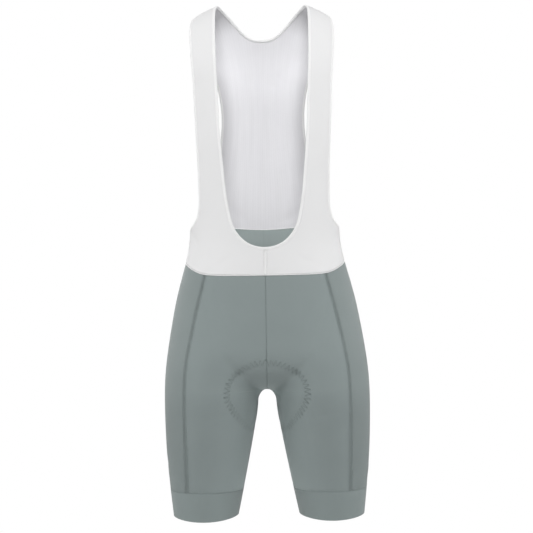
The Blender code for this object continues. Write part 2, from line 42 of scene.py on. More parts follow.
mm = 0.001
body = "root"
sides = {"l": 1, "r": -1}  # the wearer's left is +X


# numbers and arrays, spread to one shape
def alike(*values):
    return np.broadcast_arrays(*(np.asarray(value, float) for value in values))


# 1 on a line, falling to 0 on both sides of it
def bell(distance, width):
    return np.exp(-(distance / width)**2)


# a ring round the body from its halves, each a run of points and a run of normals
def joinHalves(left, right):
    return tuple(np.concatenate([a, b[-2:0:-1]]) for a, b in zip(left, right))


# The figure that all the cloth lies on.
# A place on it is a turn (0 centre front or inner leg, 2 side, 4 centre back) and a station,
# its height in mm, which runs on along the cloth over the shoulder.

figure = {
    "shoulderBase": -140.0, "shoulderLength": 210.0, "shoulderLine": 70.0,
    "crotchY": 8.0, "crotch": -690.0, "frontRise": 75.0, "backRise": 112.0,
    "turnUnder": 2.3, "webSoftness": 0.26, "arch": 17.0, "archSpread": 3.0,
    "legsBegin": -480.0, "legsAlone": -650.0, "bandTop": -869.0, "hem": -916.0, "hemDip": 5.0,
    "trunkFullness": 0.60, "legFullness": 0.56, "cloth": 1.5,
}

sectionColumns = ("station", "frontX", "frontN", "backX", "backN", "side", "narrow", "sideY", "innerX")
sections = [
    (-930, 114, 58, 113, 59, 169.5, 0, 0, 58),
    (-869, 110, 69, 110, 68, 176, 0, 0, 45),
    (-800, 106, 82, 106, 81, 182, 0, 1, 31),
    (-750, 102, 91, 103, 92, 184, 0, 3, 22),
    (-706, 98, 97, 99, 105, 184.5, 0, 5, 17),
    (-660, 92, 104, 92, 120, 182.5, 0, 6, 16),
    (-620, 84, 108, 84, 129, 177.5, 0, 6, 16),
    (-570, 75, 110, 76, 129, 169, 0, 5, 16),
    (-520, 68, 107, 70, 117, 158.5, 0, 3, 16),
    (-470, 62, 102, 64, 101, 144.7, 0, 1, 16),
    (-430, 60, 99, 60, 93, 135.5, 0, 0, 16),
    (-398, 60, 100, 60, 92, 133.5, 0, 0, 16),
    (-330, 60, 105, 60, 98, 137, 9, 0, 16),
    (-250, 60, 109, 60, 106, 144, 31, 0, 16),
    (-180, 60, 107, 60, 107, 150, 44, 0, 16),
    (-140, 60, 104, 60, 105, 152, 43, 0, 16),
    (-70, 60, 106, 60, 107, 158, 34, 0, 16),
    (0, 60, 124, 60, 125, 168, 18, 0, 16),
    (35, 60, 140.5, 60, 140.5, 175, 8, 0, 16),
    (55, 60, 148.5, 60, 148.5, 179, 3, 0, 16),
    (70, 60, 151, 60, 151, 180, 0, 0, 16),
    (85, 60, 148.5, 60, 148.5, 179, -3, 0, 16),
]

# The waist seam: (turn, station)
waistLine = [(0, -486), (0.5, -485.8), (0.88, -484.4), (1.08, -481.8), (1.3, -476), (1.65, -467),
             (2, -457.5), (2.35, -442.5), (2.65, -425), (2.9, -410), (3.1, -402.5), (3.3, -400),
             (3.6, -400.8), (4, -403)]

# Edges and seams: (distance from the centre plane, station), from the foot up
neckFront = [(0, -437), (22, -433), (39, -422), (53, -403), (61, -375), (66, -345), (70, -305),
             (75, -245), (78, -180), (80.5, -110), (82, -40), (82.5, 10), (81.5, 45), (77.5, 70)]
neckBack = [(0, -25.5), (14, -23.5), (29, -13), (45, 8), (56.5, 26), (67, 44), (73.5, 57), (77.5, 70)]
armFront = [(133.5, -401), (120.5, -383), (116.5, -367), (115.5, -345), (116, -310), (118.5, -250),
            (121, -190), (123.5, -130), (126, -70), (128.5, -10), (129, 22), (127, 48), (122, 70)]
armBack = [(133.5, -401), (121, -384), (107, -352), (92, -310), (81, -250), (77, -205), (78.5, -172),
           (84, -140), (92.5, -105), (102, -62), (110, -18), (116, 24), (122, 70)]
seamFront = [(144, -880), (145, -800), (145.5, -700), (142, -647), (133.5, -600), (117, -528),
             (104, -476), (100, -455)]
seamBack = [(143, -880), (144, -800), (146, -700), (144, -650), (137, -600), (122, -528),
            (107, -460), (100, -415)]
padFront = [(20, -775), (35, -758), (50, -738), (64, -716), (70, -702), (70.5, -690), (66, -673),
            (56, -659), (40, -649), (18, -638)]
padBack = [(20, -775), (36, -758), (54, -738), (72, -720), (85, -702), (92, -680), (93, -655),
           (87, -628), (74, -607), (60, -590), (48, -570)]


# a natural cubic spline through rows of numbers, read at one measure or an array of them
def splineThrough(knots, rows):
    x, y = np.array(knots, float), np.array(rows, float)
    gaps, count = np.diff(x), len(x)
    matrix, right = np.eye(count), np.zeros_like(y)
    for i in range(1, count - 1):
        matrix[i, i - 1:i + 2] = gaps[i - 1], 2 * (gaps[i - 1] + gaps[i]), gaps[i]
        right[i] = 6 * ((y[i + 1] - y[i]) / gaps[i] - (y[i] - y[i - 1]) / gaps[i - 1])
    bend = np.linalg.solve(matrix, right)

    def at(measure):
        measure = np.asarray(measure, float)
        i = np.clip(np.searchsorted(x, measure) - 1, 0, count - 2)
        gap = gaps[i][..., None]
        a, b = (x[i + 1] - measure)[..., None] / gap, (measure - x[i])[..., None] / gap
        curved = ((a**3 - a) * bend[i] + (b**3 - b) * bend[i + 1]) * gap**2 / 6
        return a * y[i] + b * y[i + 1] + curved

    return at


sectionAt = splineThrough([s[0] for s in sections], sections)
# the waist seam runs level across the centre lines, so its ends are mirrored there
waistEnds = [(-waistLine[1][0], waistLine[1][1]), *waistLine, (8 - waistLine[-2][0], waistLine[-2][1])]
waistSpline = splineThrough([turn for turn, _ in waistEnds], [(station,) for _, station in waistEnds])


def bezier(p, q, r, s, t):
    return (1 - t)**3 * p + 3 * t * (1 - t)**2 * q + 3 * t * t * (1 - t) * r + t**3 * s


def smoothStep(value, low, high):
    share = np.clip((value - low) / (high - low), 0, 1)
    return share * share * (3 - 2 * share)


def opened(distance, reach, power=2.0):
    share = 1 - np.clip(distance / reach, 0, 1)
    return (1 - share**power)**(1 / power)


# a quarter of a section, from its top round to its side; full is the length of the arc's handles
def quarter(topX, topY, sideX, sideY, full, t):
    x = bezier(topX, topX + full * (sideX - topX), sideX, sideX, t)
    return x, bezier(topY, topY, sideY + full * (topY - sideY), sideY, t)


def trunkSection(turn, s):
    isFront = turn <= 2
    deep = np.where(isFront, -s["frontN"], s["backN"])
    side = np.where(isFront, s["side"], s["side"] - np.maximum(s["narrow"], 0))
    t = np.minimum(turn, 4 - turn) / 2
    return np.stack(quarter(0, deep, side, s["sideY"], figure["trunkFullness"], t), axis=-1)


def legSection(turn, station, s):
    isFront = turn <= 2
    topX = np.where(isFront, s["frontX"], s["backX"])
    topY = np.where(isFront, -s["frontN"], s["backN"])
    rise = np.where(isFront, figure["frontRise"], figure["backRise"])
    step = np.minimum(turn, 4 - turn)
    # inner quarter: a web joins the legs down to the crotch, and the arch opens under it
    inner, under = np.minimum(step, 1), figure["turnUnder"]
    web = opened(station - figure["crotch"], rise, under)
    across = (1 - web) * (1 - np.cos(inner * math.pi / 2)) + web * inner
    arc, soften = np.sqrt(np.maximum(1 - (1 - across)**2, 0)), figure["webSoftness"] * web * (1 - web)
    depth = np.clip((arc + web + np.hypot(arc - web, soften)) / 2, 0, 1)
    archTop = figure["crotch"] + rise * (1 - (1 - depth**under)**(1 / under))
    spread = figure["arch"] * (1 + figure["archSpread"] * depth)
    gap = np.where((arc > web) | (web == 0), s["innerX"] * opened(archTop - station, spread), 0)
    innerX = gap + (topX - gap) * across
    innerY = figure["crotchY"] + (topY - figure["crotchY"]) * depth
    # outer quarter: a plain arc round to the side
    t, full = np.clip(step - 1, 0, 1), figure["legFullness"]
    outerX, outerY = quarter(topX, topY, s["side"], s["sideY"], full, t)
    return np.stack([np.where(step <= 1, innerX, outerX), np.where(step <= 1, innerY, outerY)], axis=-1)


def figurePoint(turn, station):
    turn, station = alike(turn, station)
    values = sectionAt(station)
    s = {name: values[..., i] for i, name in enumerate(sectionColumns)}
    legs = (1 - smoothStep(station, figure["legsAlone"], figure["legsBegin"]))[..., None]
    flat = (1 - legs) * trunkSection(turn, s) + legs * legSection(turn, station, s)
    base = figure["shoulderBase"]
    lean = np.maximum(station - base, 0) / figure["shoulderLength"] * math.pi / 2
    z = np.where(station <= base, station, base + np.abs(flat[..., 1]) * np.sin(lean))
    return np.stack([flat[..., 0], flat[..., 1] * np.cos(lean), z], axis=-1)


def unit(vector):
    return vector / np.linalg.norm(vector, axis=-1, keepdims=True)


# how finely places are looked for and slopes are read, in turns and rounds
search = {
    "turnStep": 0.02, "levelStep": 0.02, "stationStep": 1.0, "edgeStep": 1.0, "halvings": 40, "rounds": 6,
    "frontGuess": 1.3, "backGuess": 2.7,
}


# a surface's slopes along its turns and along its other measure
def slopes(place, turn, other, step, isFront):
    low, high = np.where(isFront, 0.0, 2.0), np.where(isFront, 2.0, 4.0)
    turn = np.clip(turn, low, high)
    start, end = np.maximum(turn - search["turnStep"], low), np.minimum(turn + search["turnStep"], high)
    alongTurn = (place(end, other) - place(start, other)) / (end - start)[..., None]
    return alongTurn, (place(turn, other + step) - place(turn, other - step)) / (2 * step)


def figureSlopes(turn, station, isFront):
    return slopes(figurePoint, turn, station, search["stationStep"], isFront)


def figureNormal(turn, station, isFront):
    turn, station = alike(turn, station)
    normal = np.cross(*figureSlopes(turn, station, isFront))
    normal[..., 0] = np.where((turn <= 0) | (turn >= 4), 0, normal[..., 0])
    return unit(normal)


# the turn at which the figure is x away from the centre plane
def turnAt(x, station, isFront):
    x, station = alike(x, station)
    low, high = np.zeros(x.shape), np.full(x.shape, 2.0)
    for _ in range(search["halvings"]):
        middle = (low + high) / 2
        short = figurePoint(middle if isFront else 4 - middle, station)[..., 0] < x
        low, high = np.where(short, middle, low), np.where(short, high, middle)
    return low if isFront else 4 - low


def waistAt(turn):
    return waistSpline(turn)[..., 0]


# Creases are soft troughs and ridges, listed one by one.
# round runs on past the back centre: 0 front, 2 wearer's left, 4 back, 6 wearer's right, 8 front

creaseColumns = ("round", "station", "endRound", "endStation", "width", "depth", "bow")
creases = [
    # straps
    (1.02, -120, 0.93, -330, 8, -0.7, 3), (1.25, -60, 1.22, -240, 9, 0.5, -2),
    (6.93, -90, 7.02, -290, 9, -0.6, -3), (6.72, -190, 6.76, -370, 7, 0.5, 2),
    # belly, drawn from the armholes and the sides
    (1.72, -412, 1.15, -446, 6, -0.8, 4), (1.85, -436, 1.30, -468, 7, 0.7, 3),
    (6.22, -408, 6.74, -438, 6, -0.9, -4), (6.15, -440, 6.62, -462, 6, 0.6, -3),
    (0.45, -452, 1.00, -474, 6, -0.5, 2), (7.50, -448, 7.08, -478, 7, -0.5, -3),
    # back panel
    (3.42, -90, 3.36, -372, 10, -1.3, 6), (3.66, -60, 3.74, -300, 11, 1.0, -5),
    (3.88, -110, 3.84, -395, 9, -1.0, 4), (4.16, -46, 4.22, -330, 12, 1.1, 5),
    (4.40, -150, 4.31, -392, 9, -1.2, -4), (4.63, -70, 4.60, -350, 10, -0.9, 5),
    (3.20, -352, 3.86, -392, 8, 0.9, 6), (4.86, -340, 4.22, -388, 9, 0.8, -5),
    # over the shoulders
    (2.85, 30, 3.25, -40, 9, -0.8, 3), (5.18, 26, 4.82, -48, 9, -0.7, -3),
    # front of the shorts, out from the crotch and the pad
    (0.30, -664, 0.95, -640, 9, -0.2, 3), (7.74, -660, 7.10, -648, 9, -0.2, -2),
    (0.62, -735, 1.30, -722, 7, -0.7, 4), (7.42, -728, 6.80, -742, 7, -0.6, 3),
    (0.30, -770, 0.95, -786, 6, 0.5, -3), (7.62, -776, 7.02, -768, 7, 0.5, 2),
    (0.75, -520, 0.66, -600, 10, 0.6, 3), (7.22, -530, 7.34, -610, 11, 0.6, -3),
    # sides
    (1.95, -505, 1.62, -560, 9, -0.6, 4), (6.10, -520, 6.40, -566, 9, -0.6, -4),
    (1.70, -820, 2.25, -842, 8, 0.5, 3), (6.30, -812, 5.72, -836, 8, -0.5, 3),
    # seat and backs of the thighs
    (3.72, -470, 3.10, -500, 9, -0.8, 5), (4.30, -462, 4.95, -498, 9, -0.8, -5),
    (3.90, -668, 3.15, -712, 8, -1.4, 9), (4.12, -664, 4.88, -716, 8, -1.3, 9),
    (3.75, -708, 3.05, -742, 7, -0.9, 7), (4.26, -712, 4.90, -736, 7, -0.9, 7),
    (3.55, -768, 2.85, -782, 7, 0.6, 4), (4.45, -774, 5.15, -764, 7, -0.6, 4),
]
# mm of cloth to one turn, how far a crease tapers past and inside its ends, and where it dies out
crease = {"turnWidth": 100.0, "past": 0.05, "inside": 0.35, "fade": 0.2}


# how far the creases move a place along its normal, in mm
def creaseShift(turn, station, side):
    turn, station = alike(turn, station)
    about, total = turn if side > 0 else 8 - turn, np.zeros(turn.shape)
    past, inside = -crease["past"], crease["inside"]
    for values in creases:
        c = dict(zip(creaseColumns, values))
        run = np.array([(c["endRound"] - c["round"]) * crease["turnWidth"], c["endStation"] - c["station"]])
        length = float(np.hypot(*run))
        x = ((about - c["round"] + 4) % 8 - 4) * crease["turnWidth"]
        y = station - c["station"]
        t = (x * run[0] + y * run[1]) / length**2
        off = (y * run[0] - x * run[1]) / length + c["bow"] * 4 * t * (1 - t)
        taper = smoothStep(t, past, inside) * smoothStep(1 - t, past, inside)
        total = total + c["depth"] * taper * bell(off, c["width"])
    return total


# A place on the shorts is a turn and a level.
# Level 0 is the waist seam, 1 the height of the crotch and 2 the seam of the leg band.


# how levels crowd towards the crotch, most at the centre lines
def crowding(turn):
    return 1.5 + np.cos(turn * math.pi / 2) / 2


def shortStation(turn, level):
    power, top, crotch = crowding(turn), waistAt(turn), figure["crotch"]
    above = top + (crotch - top) * (1 - (1 - np.minimum(level, 1))**power)
    below = crotch + (figure["bandTop"] - crotch) * np.maximum(level - 1, 0)**power
    return np.where(level <= 1, above, below)


def shortFigure(turn, level):
    return figurePoint(turn, shortStation(turn, level))


def shortNormal(turn, level):
    turn, level = alike(turn, level)
    alongTurn, alongLevel = slopes(shortFigure, turn, level, search["levelStep"], turn <= 2)
    normal = np.cross(alongLevel, alongTurn)
    onLine = (turn == 0) | (turn == 4)
    normal[..., 0] = np.where(onLine & (level < 1), 0, normal[..., 0])
    normal[..., 1] = np.where(onLine & (level >= 1), 0, normal[..., 1])
    normal[onLine & (np.abs(level - 1) < 1e-9)] = (0, 0, -1)
    return unit(normal)


# the turn at each level of a line given by points
def lineTurns(points, isFront):
    ordered = sorted(points, key=lambda p: p[1])
    xAt = splineThrough([p[1] for p in ordered], [(p[0],) for p in ordered])

    def turnOf(level):
        level = np.asarray(level, float)
        turn = np.full(level.shape, search["frontGuess" if isFront else "backGuess"])
        for _ in range(search["rounds"]):
            station = shortStation(turn, level)
            turn = turnAt(xAt(station)[..., 0], station, isFront)
        return turn

    return turnOf


frontSeam, backSeam = lineTurns(seamFront, True), lineTurns(seamBack, False)
padFrontTurn, padBackTurn = lineTurns(padFront, True), lineTurns(padBack, False)


# Half of the pad's edge on the shorts, from the centre front round to the centre back.
padShape = {"topFront": 0.5, "topBack": 0.4, "foot": 1.625, "edgeSteps": 90, "endSteps": 8, "rounding": 6}


def padEdgePlaces():
    p, ends, turns, levels = padShape, padShape["endSteps"], [], []
    halves = (0, padFrontTurn, p["topFront"], p["foot"]), (4, padBackTurn, p["foot"], p["topBack"])
    for centre, edgeTurn, first, last in halves:
        level = np.linspace(first, last, p["edgeSteps"])
        out = edgeTurn(level)
        turns += [np.linspace(centre, out[0], ends, False), out, np.linspace(out[-1], centre, ends + 1)[1:]]
        levels += [np.full(ends, first), level, np.full(ends, last)]
    return np.concatenate(turns), np.concatenate(levels)


padEdgeTurn, padEdgeLevel = padEdgePlaces()
padEdge = shortFigure(padEdgeTurn, padEdgeLevel)
for _ in range(padShape["rounding"]):
    padEdge[1:-1] = (padEdge[:-2] + 2 * padEdge[1:-1] + padEdge[2:]) / 4

# The cloth is drawn in along the pad's stitching and stands a little proud over the pad.
padPull = {"depth": 0.25, "width": 5.0, "swell": 1.2, "swellWidth": 16.0}


def nearest(points, targets):
    flat = points.reshape(-1, 3)
    near = np.full(len(flat), np.inf)
    for target in targets:
        near = np.minimum(near, ((flat - target)**2).sum(axis=1))
    return np.sqrt(near).reshape(points.shape[:-1])


# whether places on the shorts lie inside the pad's edge
def insidePad(turn, level):
    turn, level = alike(turn, level)
    isFront = turn <= 2
    reach = np.where(isFront, padFrontTurn(level), 4 - padBackTurn(level))
    top = np.where(isFront, padShape["topFront"], padShape["topBack"])
    return (np.minimum(turn, 4 - turn) < reach) & (level > top) & (level < padShape["foot"])


def padShift(points, turn, level):
    near = nearest(points, padEdge)
    swell = np.where(insidePad(turn, level), 1 - bell(near, padPull["swellWidth"]), 0)
    return padPull["swell"] * swell - padPull["depth"] * bell(near, padPull["width"])


# points and normals of the creased shorts; creases die out where the inner legs meet
def shortPlace(turn, level, side, lift=0.0):
    turn, level = alike(turn, level)
    point, normal = shortFigure(turn, level), shortNormal(turn, level)
    inner = np.minimum(turn, 4 - turn)
    fade = smoothStep(np.where(level > 1, inner, np.hypot(level - 1, inner)), 0, crease["fade"])
    shift = creaseShift(turn, shortStation(turn, level), side) * fade
    shift = shift + padShift(point, turn, level) + lift
    return (point + normal * shift[..., None]) * (side, 1, 1), normal * (side, 1, 1)


def bibPlace(turn, station, isFront, side, lift=0.0):
    turn = np.clip(np.round(turn, 9), 0, 4)
    normal = figureNormal(turn, station, isFront)
    shift = creaseShift(turn, station, side) + lift
    return (figurePoint(turn, station) + normal * shift[..., None]) * (side, 1, 1), normal * (side, 1, 1)


# Meshes from grids of places

# closed says that both the rows and the columns join up into rings
def grid(points, normals, uv, closed=False, shade=0.0):
    shade = np.broadcast_to(shade, points.shape[:2])
    return {"points": points, "normals": normals, "uv": uv, "closed": closed, "shade": shade}


# the corners of a grid's faces, as rows and columns that run on past the ends of a closed one
def gridCorners(rows, columns, closed):
    spans = (np.arange(count - (not closed)) for count in (rows, columns))
    i, j = (part.ravel() for part in np.meshgrid(*spans, indexing="ij"))
    return np.stack([i, i, i + 1, i + 1], axis=1), np.stack([j, j + 1, j + 1, j], axis=1)


def addObject(name, data):
    made = bpy.data.objects.new(name, data)
    bpy.context.scene.collection.objects.link(made)
    return made


weldDistance = 0.03  # mm


# one mesh from grids; their faces are turned so that they look along the normals
# a point attribute tells the finish how much darker a point is painted: mostly painted shade, painted light
# where it is negative, and a darker tone inside the pad
def clothMesh(name, grids, finish, merged=False):
    points, faces, corners, start = [], [], [], 0
    for g in grids:
        rows, columns = g["points"].shape[:2]
        row, column = gridCorners(rows, columns, g["closed"])
        face = (row % rows) * columns + column % columns
        flat = g["points"].reshape(-1, 3)
        a, b, c, d = (flat[face[:, k]] for k in range(4))
        facing = (np.cross(c - a, d - b) * g["normals"].reshape(-1, 3)[face[:, 0]]).sum()
        uv = g["uv"][row, column]
        if facing < 0:
            face, uv = face[:, ::-1], uv[:, ::-1]
        points.append(flat)
        faces.append(face + start)
        corners.append(uv.reshape(-1, 2))
        start += len(flat)
    mesh = bpy.data.meshes.new(name)
    mesh.from_pydata((np.concatenate(points) * mm).tolist(), [], np.concatenate(faces).tolist())
    mesh.uv_layers.new(name="clothMap").data.foreach_set("uv", (np.concatenate(corners) * mm).ravel())
    shades = np.concatenate([g["shade"].ravel() for g in grids])
    mesh.attributes.new("toneAndPaintedShade", "FLOAT", "POINT").data.foreach_set("value", shades)
    if merged:
        mending = bmesh.new()
        mending.from_mesh(mesh)
        bmesh.ops.remove_doubles(mending, verts=mending.verts, dist=weldDistance * mm)
        mending.to_mesh(mesh)
        mending.free()
    mesh.shade_smooth()
    mesh.materials.append(finish)
    return addObject(name, mesh)


# a wall of even thickness, with its own finish on the inner face
def giveWall(piece, thickness, inside):
    piece.data.materials.append(inside)
    wall = piece.modifiers.new("wall", "SOLIDIFY")
    wall.thickness, wall.offset, wall.use_rim = thickness * mm, -1, True
    wall.material_offset = 1


# lengths along the rows or columns of a grid of points, in mm
def runLengths(points, axis):
    steps = np.linalg.norm(np.diff(points, axis=axis), axis=-1)
    shape = list(steps.shape)
    shape[axis] = 1
    return np.concatenate([np.zeros(shape), np.cumsum(steps, axis=axis)], axis=axis)


def gridArea(points):
    across = points[1:, 1:] - points[:-1, :-1], points[1:, :-1] - points[:-1, 1:]
    return float(np.linalg.norm(np.cross(*across), axis=-1).sum() / 2)


# the flat cut of a panel, in metres: wearing draws the cloth out a little across
def cutSize(points, stretch):
    width, length = (float(runLengths(points, axis).max()) for axis in (1, 0))
    flat, area = (width / stretch * mm, length * mm), gridArea(points) / stretch * mm * mm
    return {"flat": flat, "area": min(area, flat[0] * flat[1])}


def declareCloth(piece, node):
    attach(piece, body)
    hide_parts(node)


# Finishes

def put(tree, kind, inputs=(), **settings):
    made = tree.nodes.new(kind)
    for name, value in settings.items():
        setattr(made, name, value)
    for key, value in dict(inputs).items():
        if isinstance(value, bpy.types.NodeSocket):
            tree.links.new(value, made.inputs[key])
        else:
            made.inputs[key].default_value = value
    return made.outputs


def calc(tree, operation, *values):
    return put(tree, "ShaderNodeMath", enumerate(values), operation=operation)[0]


# a start, with parts added to it by their sizes
def added(tree, start, *parts):
    for part, size in parts:
        start = calc(tree, "MULTIPLY_ADD", part, size, start)
    return start


def newFinish(name):
    material = bpy.data.materials.new(name)
    material.use_nodes = True
    return material, material.node_tree


# slow and fine changes of tone, both from -0.5 to 0.5
def toneNoise(tree, look):
    place = put(tree, "ShaderNodeTexCoord")["Object"]
    noises = (put(tree, "ShaderNodeTexNoise", {"Vector": place, "Scale": look[scale], "Detail": detail})[0]
              for scale, detail in (("slowScale", 3.0), ("fineScale", 2.0)))
    return [calc(tree, "SUBTRACT", noise, 0.5) for noise in noises]


# the look's gloss, its colour from the dark tone at a share of 0 to the light one at 1, and its relief
def surface(tree, look, share, height):
    shader = tree.nodes["Principled BSDF"]
    for socket, value in (("Roughness", "roughness"), ("Specular IOR Level", "gloss"),
                          ("Sheen Weight", "sheen"), ("Sheen Roughness", "sheenSpread")):
        shader.inputs[socket].default_value = look[value]
    ramp = put(tree, "ShaderNodeValToRGB", {"Fac": share})["Color"]
    for stop, tone in zip(ramp.node.color_ramp.elements, ("dark", "light")):
        stop.color = (*look[tone], 1)
    bump = put(tree, "ShaderNodeBump",
               {"Strength": look["relief"], "Distance": look["reliefDepth"] * mm, "Height": height})
    tree.links.new(ramp, shader.inputs["Base Color"])
    tree.links.new(bump[0], shader.inputs["Normal"])


# a plain knit: upright wales of small V-shaped loops, and ribs where the look has them
def knitFinish(name, look):
    material, tree = newFinish(name)
    place = put(tree, "ShaderNodeUVMap", uv_map="clothMap")[0]
    split = put(tree, "ShaderNodeSeparateXYZ", {0: place})
    u, v = (calc(tree, "DIVIDE", split[k], look[size] * mm) for k, size in ((0, "wale"), (1, "course")))
    leg = calc(tree, "ABSOLUTE", calc(tree, "SUBTRACT", calc(tree, "FRACT", u), 0.5))
    yarn = calc(tree, "SINE", calc(tree, "MULTIPLY", leg, math.tau))
    slant = calc(tree, "SUBTRACT", v, calc(tree, "MULTIPLY", leg, look["slant"]))
    loop = calc(tree, "COSINE", calc(tree, "MULTIPLY", slant, math.tau))
    loop = added(tree, 1 - look["loopDip"], (loop, look["loopDip"]))
    height = calc(tree, "MULTIPLY", calc(tree, "POWER", calc(tree, "MAXIMUM", yarn, 0.0), 0.5), loop)
    slow, fine = toneNoise(tree, look)
    # painted shade and painted light from the point attribute, and the pad's darker tone, go into the colour
    # here
    near = put(tree, "ShaderNodeAttribute", attribute_name="toneAndPaintedShade")["Fac"]
    share = added(tree, 0.5 - look["loopTone"] / 2, (height, look["loopTone"]), (slow, look["slowTone"]),
                  (fine, look["fineTone"]), (near, -look["toneAndPaintedShadeStrength"]))
    if "ribSpan" in look:
        # upright ribs, uneven because streaks of slacker and tighter knit run along them
        drawn = put(tree, "ShaderNodeVectorMath", {0: place, 1: look["streaks"]}, operation="MULTIPLY")[0]
        streak = put(tree, "ShaderNodeTexNoise", {"Vector": drawn, "Scale": 1.0})[0]
        wander = added(tree, split[0], (slow, look["ribWander"] * mm))
        wave = calc(tree, "COSINE", calc(tree, "MULTIPLY", wander, math.tau / (look["ribSpan"] * mm)))
        line = calc(tree, "POWER", added(tree, 0.5, (wave, 0.5)), look["ribSharpness"])
        share = added(tree, share, (calc(tree, "SUBTRACT", streak, 0.5), look["streakTone"]),
                      (line, -look["ribTone"]))
        height = added(tree, height, (line, -look["ribDepth"]))
    surface(tree, look, share, height)
    return material


# twisted yarn for sewing
def threadFinish(name, look):
    material, tree = newFinish(name)
    slow, fine = toneNoise(tree, look)
    surface(tree, look, added(tree, 0.5, (fine, look["fineTone"]), (slow, look["slowTone"])), fine)
    return material


# two tones of a finish, darker and lighter than its own by a spread
def tones(red, green, blue, spread):
    colour = np.array([red, green, blue])
    return {"dark": tuple(colour * (1 - spread)), "light": tuple(colour * (1 + spread))}


knitLook = {
    "wale": 0.85, "course": 0.6, "slant": 1.7, "loopDip": 0.3, "loopTone": 0.12, "relief": 0.35,
    "reliefDepth": 0.12, "slowScale": 14.0, "slowTone": 0.14, "fineScale": 900.0, "fineTone": 0.10,
    "toneAndPaintedShadeStrength": 0.30, "roughness": 0.62, "gloss": 0.25, "sheen": 0.14, "sheenSpread": 0.4,
}
whiteLook = {
    **knitLook, "roughness": 0.78, "loopTone": 0.25, "slowTone": 0.20, "fineTone": 0.2, "toneAndPaintedShadeStrength": 0.5,
}
whiteKnit = knitFinish("whiteKnit", {**whiteLook, **tones(0.775, 0.775, 0.778, 0.10)})
meshLook = {
    **whiteLook, "wale": 1.2, "course": 1.0, "ribSpan": 4.2, "ribWander": 3.0, "ribTone": 0.12,
    "ribDepth": 0.4, "ribSharpness": 6.0, "streaks": (130.0, 9.0, 1.0), "streakTone": 0.35,
}
whiteMesh = knitFinish("whiteMesh", {**meshLook, **tones(0.80, 0.80, 0.81, 0.12)})
# the back panel's inside is lit from the front opening only, so its edges get painted shade, which this
# finish's wider spread of tone carries
meshInsidePaintedShade = knitFinish("meshInsidePaintedShade", {
    **meshLook, **tones(0.785, 0.781, 0.804, 0.22), "loopTone": 0.12, "ribTone": 0.06,
    "streakTone": 0.17, "slowTone": 0.10, "fineTone": 0.10,
})
# its wide spread of tone carries painted shade and painted light on the tapes' inner sides
whiteTape = knitFinish("whiteTape", {
    **whiteLook, **tones(0.84, 0.84, 0.84, 0.16), "wale": 0.6, "loopTone": 0.1,
    "slowTone": 0.1, "fineTone": 0.1,
})
sageKnit = knitFinish("sageKnit", {**knitLook, **tones(0.244, 0.285, 0.283, 0.35)})
# the side panels are the same knit, set darker in colour to offset the side lamps: painted shade
sageSidePaintedShade = knitFinish("sageSidePaintedShade", {**knitLook, **tones(0.228, 0.266, 0.263, 0.35), "wale": 0.95})
sageBand = knitFinish("sageBand", {**knitLook, **tones(0.219, 0.257, 0.254, 0.3), "wale": 1.1, "course": 0.8})
# the inside of the shorts, lighter than the outside: partly the knit's reverse side, partly painted light
# where the inside lies in shade
sageReverseAndPaintedLight = knitFinish("sageReverseAndPaintedLight", {**knitLook, **tones(0.37, 0.426, 0.42, 0.3), "toneAndPaintedShadeStrength": 0.0})
padCloth = knitFinish("padCloth", {
    **knitLook, **tones(0.10, 0.12, 0.12, 0.3), "wale": 1.6, "course": 1.3, "roughness": 0.85,
})
threadLook = {
    "slowScale": 60.0, "slowTone": 0.3, "fineScale": 2600.0, "fineTone": 0.8, "relief": 0.4,
    "reliefDepth": 0.08, "roughness": 0.5, "gloss": 0.3, "sheen": 0.1, "sheenSpread": 0.4,
}
sageThread = threadFinish("sageThread", {**threadLook, **tones(0.262, 0.305, 0.302, 0.15)})
padThread = threadFinish("padThread", {**threadLook, **tones(0.240, 0.280, 0.276, 0.15)})
darkThread = threadFinish("darkThread", {**threadLook, **tones(0.232, 0.270, 0.268, 0.15)})
whiteThread = threadFinish("whiteThread", {**threadLook, **tones(0.93, 0.93, 0.93, 0.05)})
print("finishes made")

# Shorts: three panels on each side, drawn in and lightly puckered along their seams.

shorts = {
    "wall": 1.3, "stretch": 1.04, "trunkRows": 62, "legRows": 50, "edgeSteps": (0.0, 0.7, 1.7, 3.2),
    "levelLength": 300.0, "seamDepth": 0.25, "seamWidth": 1.5, "puckerHeight": 0.16, "puckerReach": 9.0,
    "puckerSpan": 13.0, "puckerWander": 0.3, "puckerDrift": 3.7, "padShade": 0.1,
    "thighShade": 0.55, "thighLevels": (0.9, 1.35),
    "innerShade": -2.3, "innerLevels": (0.7, 1.1), "innerReach": 0.5,
}
# reach and depth of the painted shade beside side and centre seams, where the seams shade the cloth
wideShade, slimShade = (5.0, 0.4), (1.2, 0.3)  # reach and depth of the tone beside side and centre seams

# for each panel: its turns from edge to edge, columns, width, finish and the painted shade beside its edges
shortPanels = {
    "Front": ((0.0, frontSeam), 44, 160, sageKnit, (slimShade, wideShade)),
    "Side": ((frontSeam, 2.0, backSeam), 16, 110, sageSidePaintedShade, (wideShade, wideShade)),
    "Back": ((backSeam, 4.0), 50, 180, sageKnit, (wideShade, slimShade)),
}


# shares from 0 to 1 with close steps at both ends, given in mm of the whole length
def crowded(count, length, closeSteps):
    close = np.array(closeSteps) / length
    return np.concatenate([close[:-1], np.linspace(close[-1], 1 - close[-1], count + 1), 1 - close[-2::-1]])


# how a seam draws the cloth in: a groove, and small uneven puckers beside it
def seamPull(distance, along, phase):
    s = shorts
    wave = along / s["puckerSpan"]
    drift = s["puckerWander"] * np.sin(math.tau * wave / s["puckerDrift"] + phase)
    pucker = s["puckerHeight"] * np.sin(math.tau * (wave + drift) + phase)
    return pucker * bell(distance, s["puckerReach"]) - s["seamDepth"] * bell(distance, s["seamWidth"])


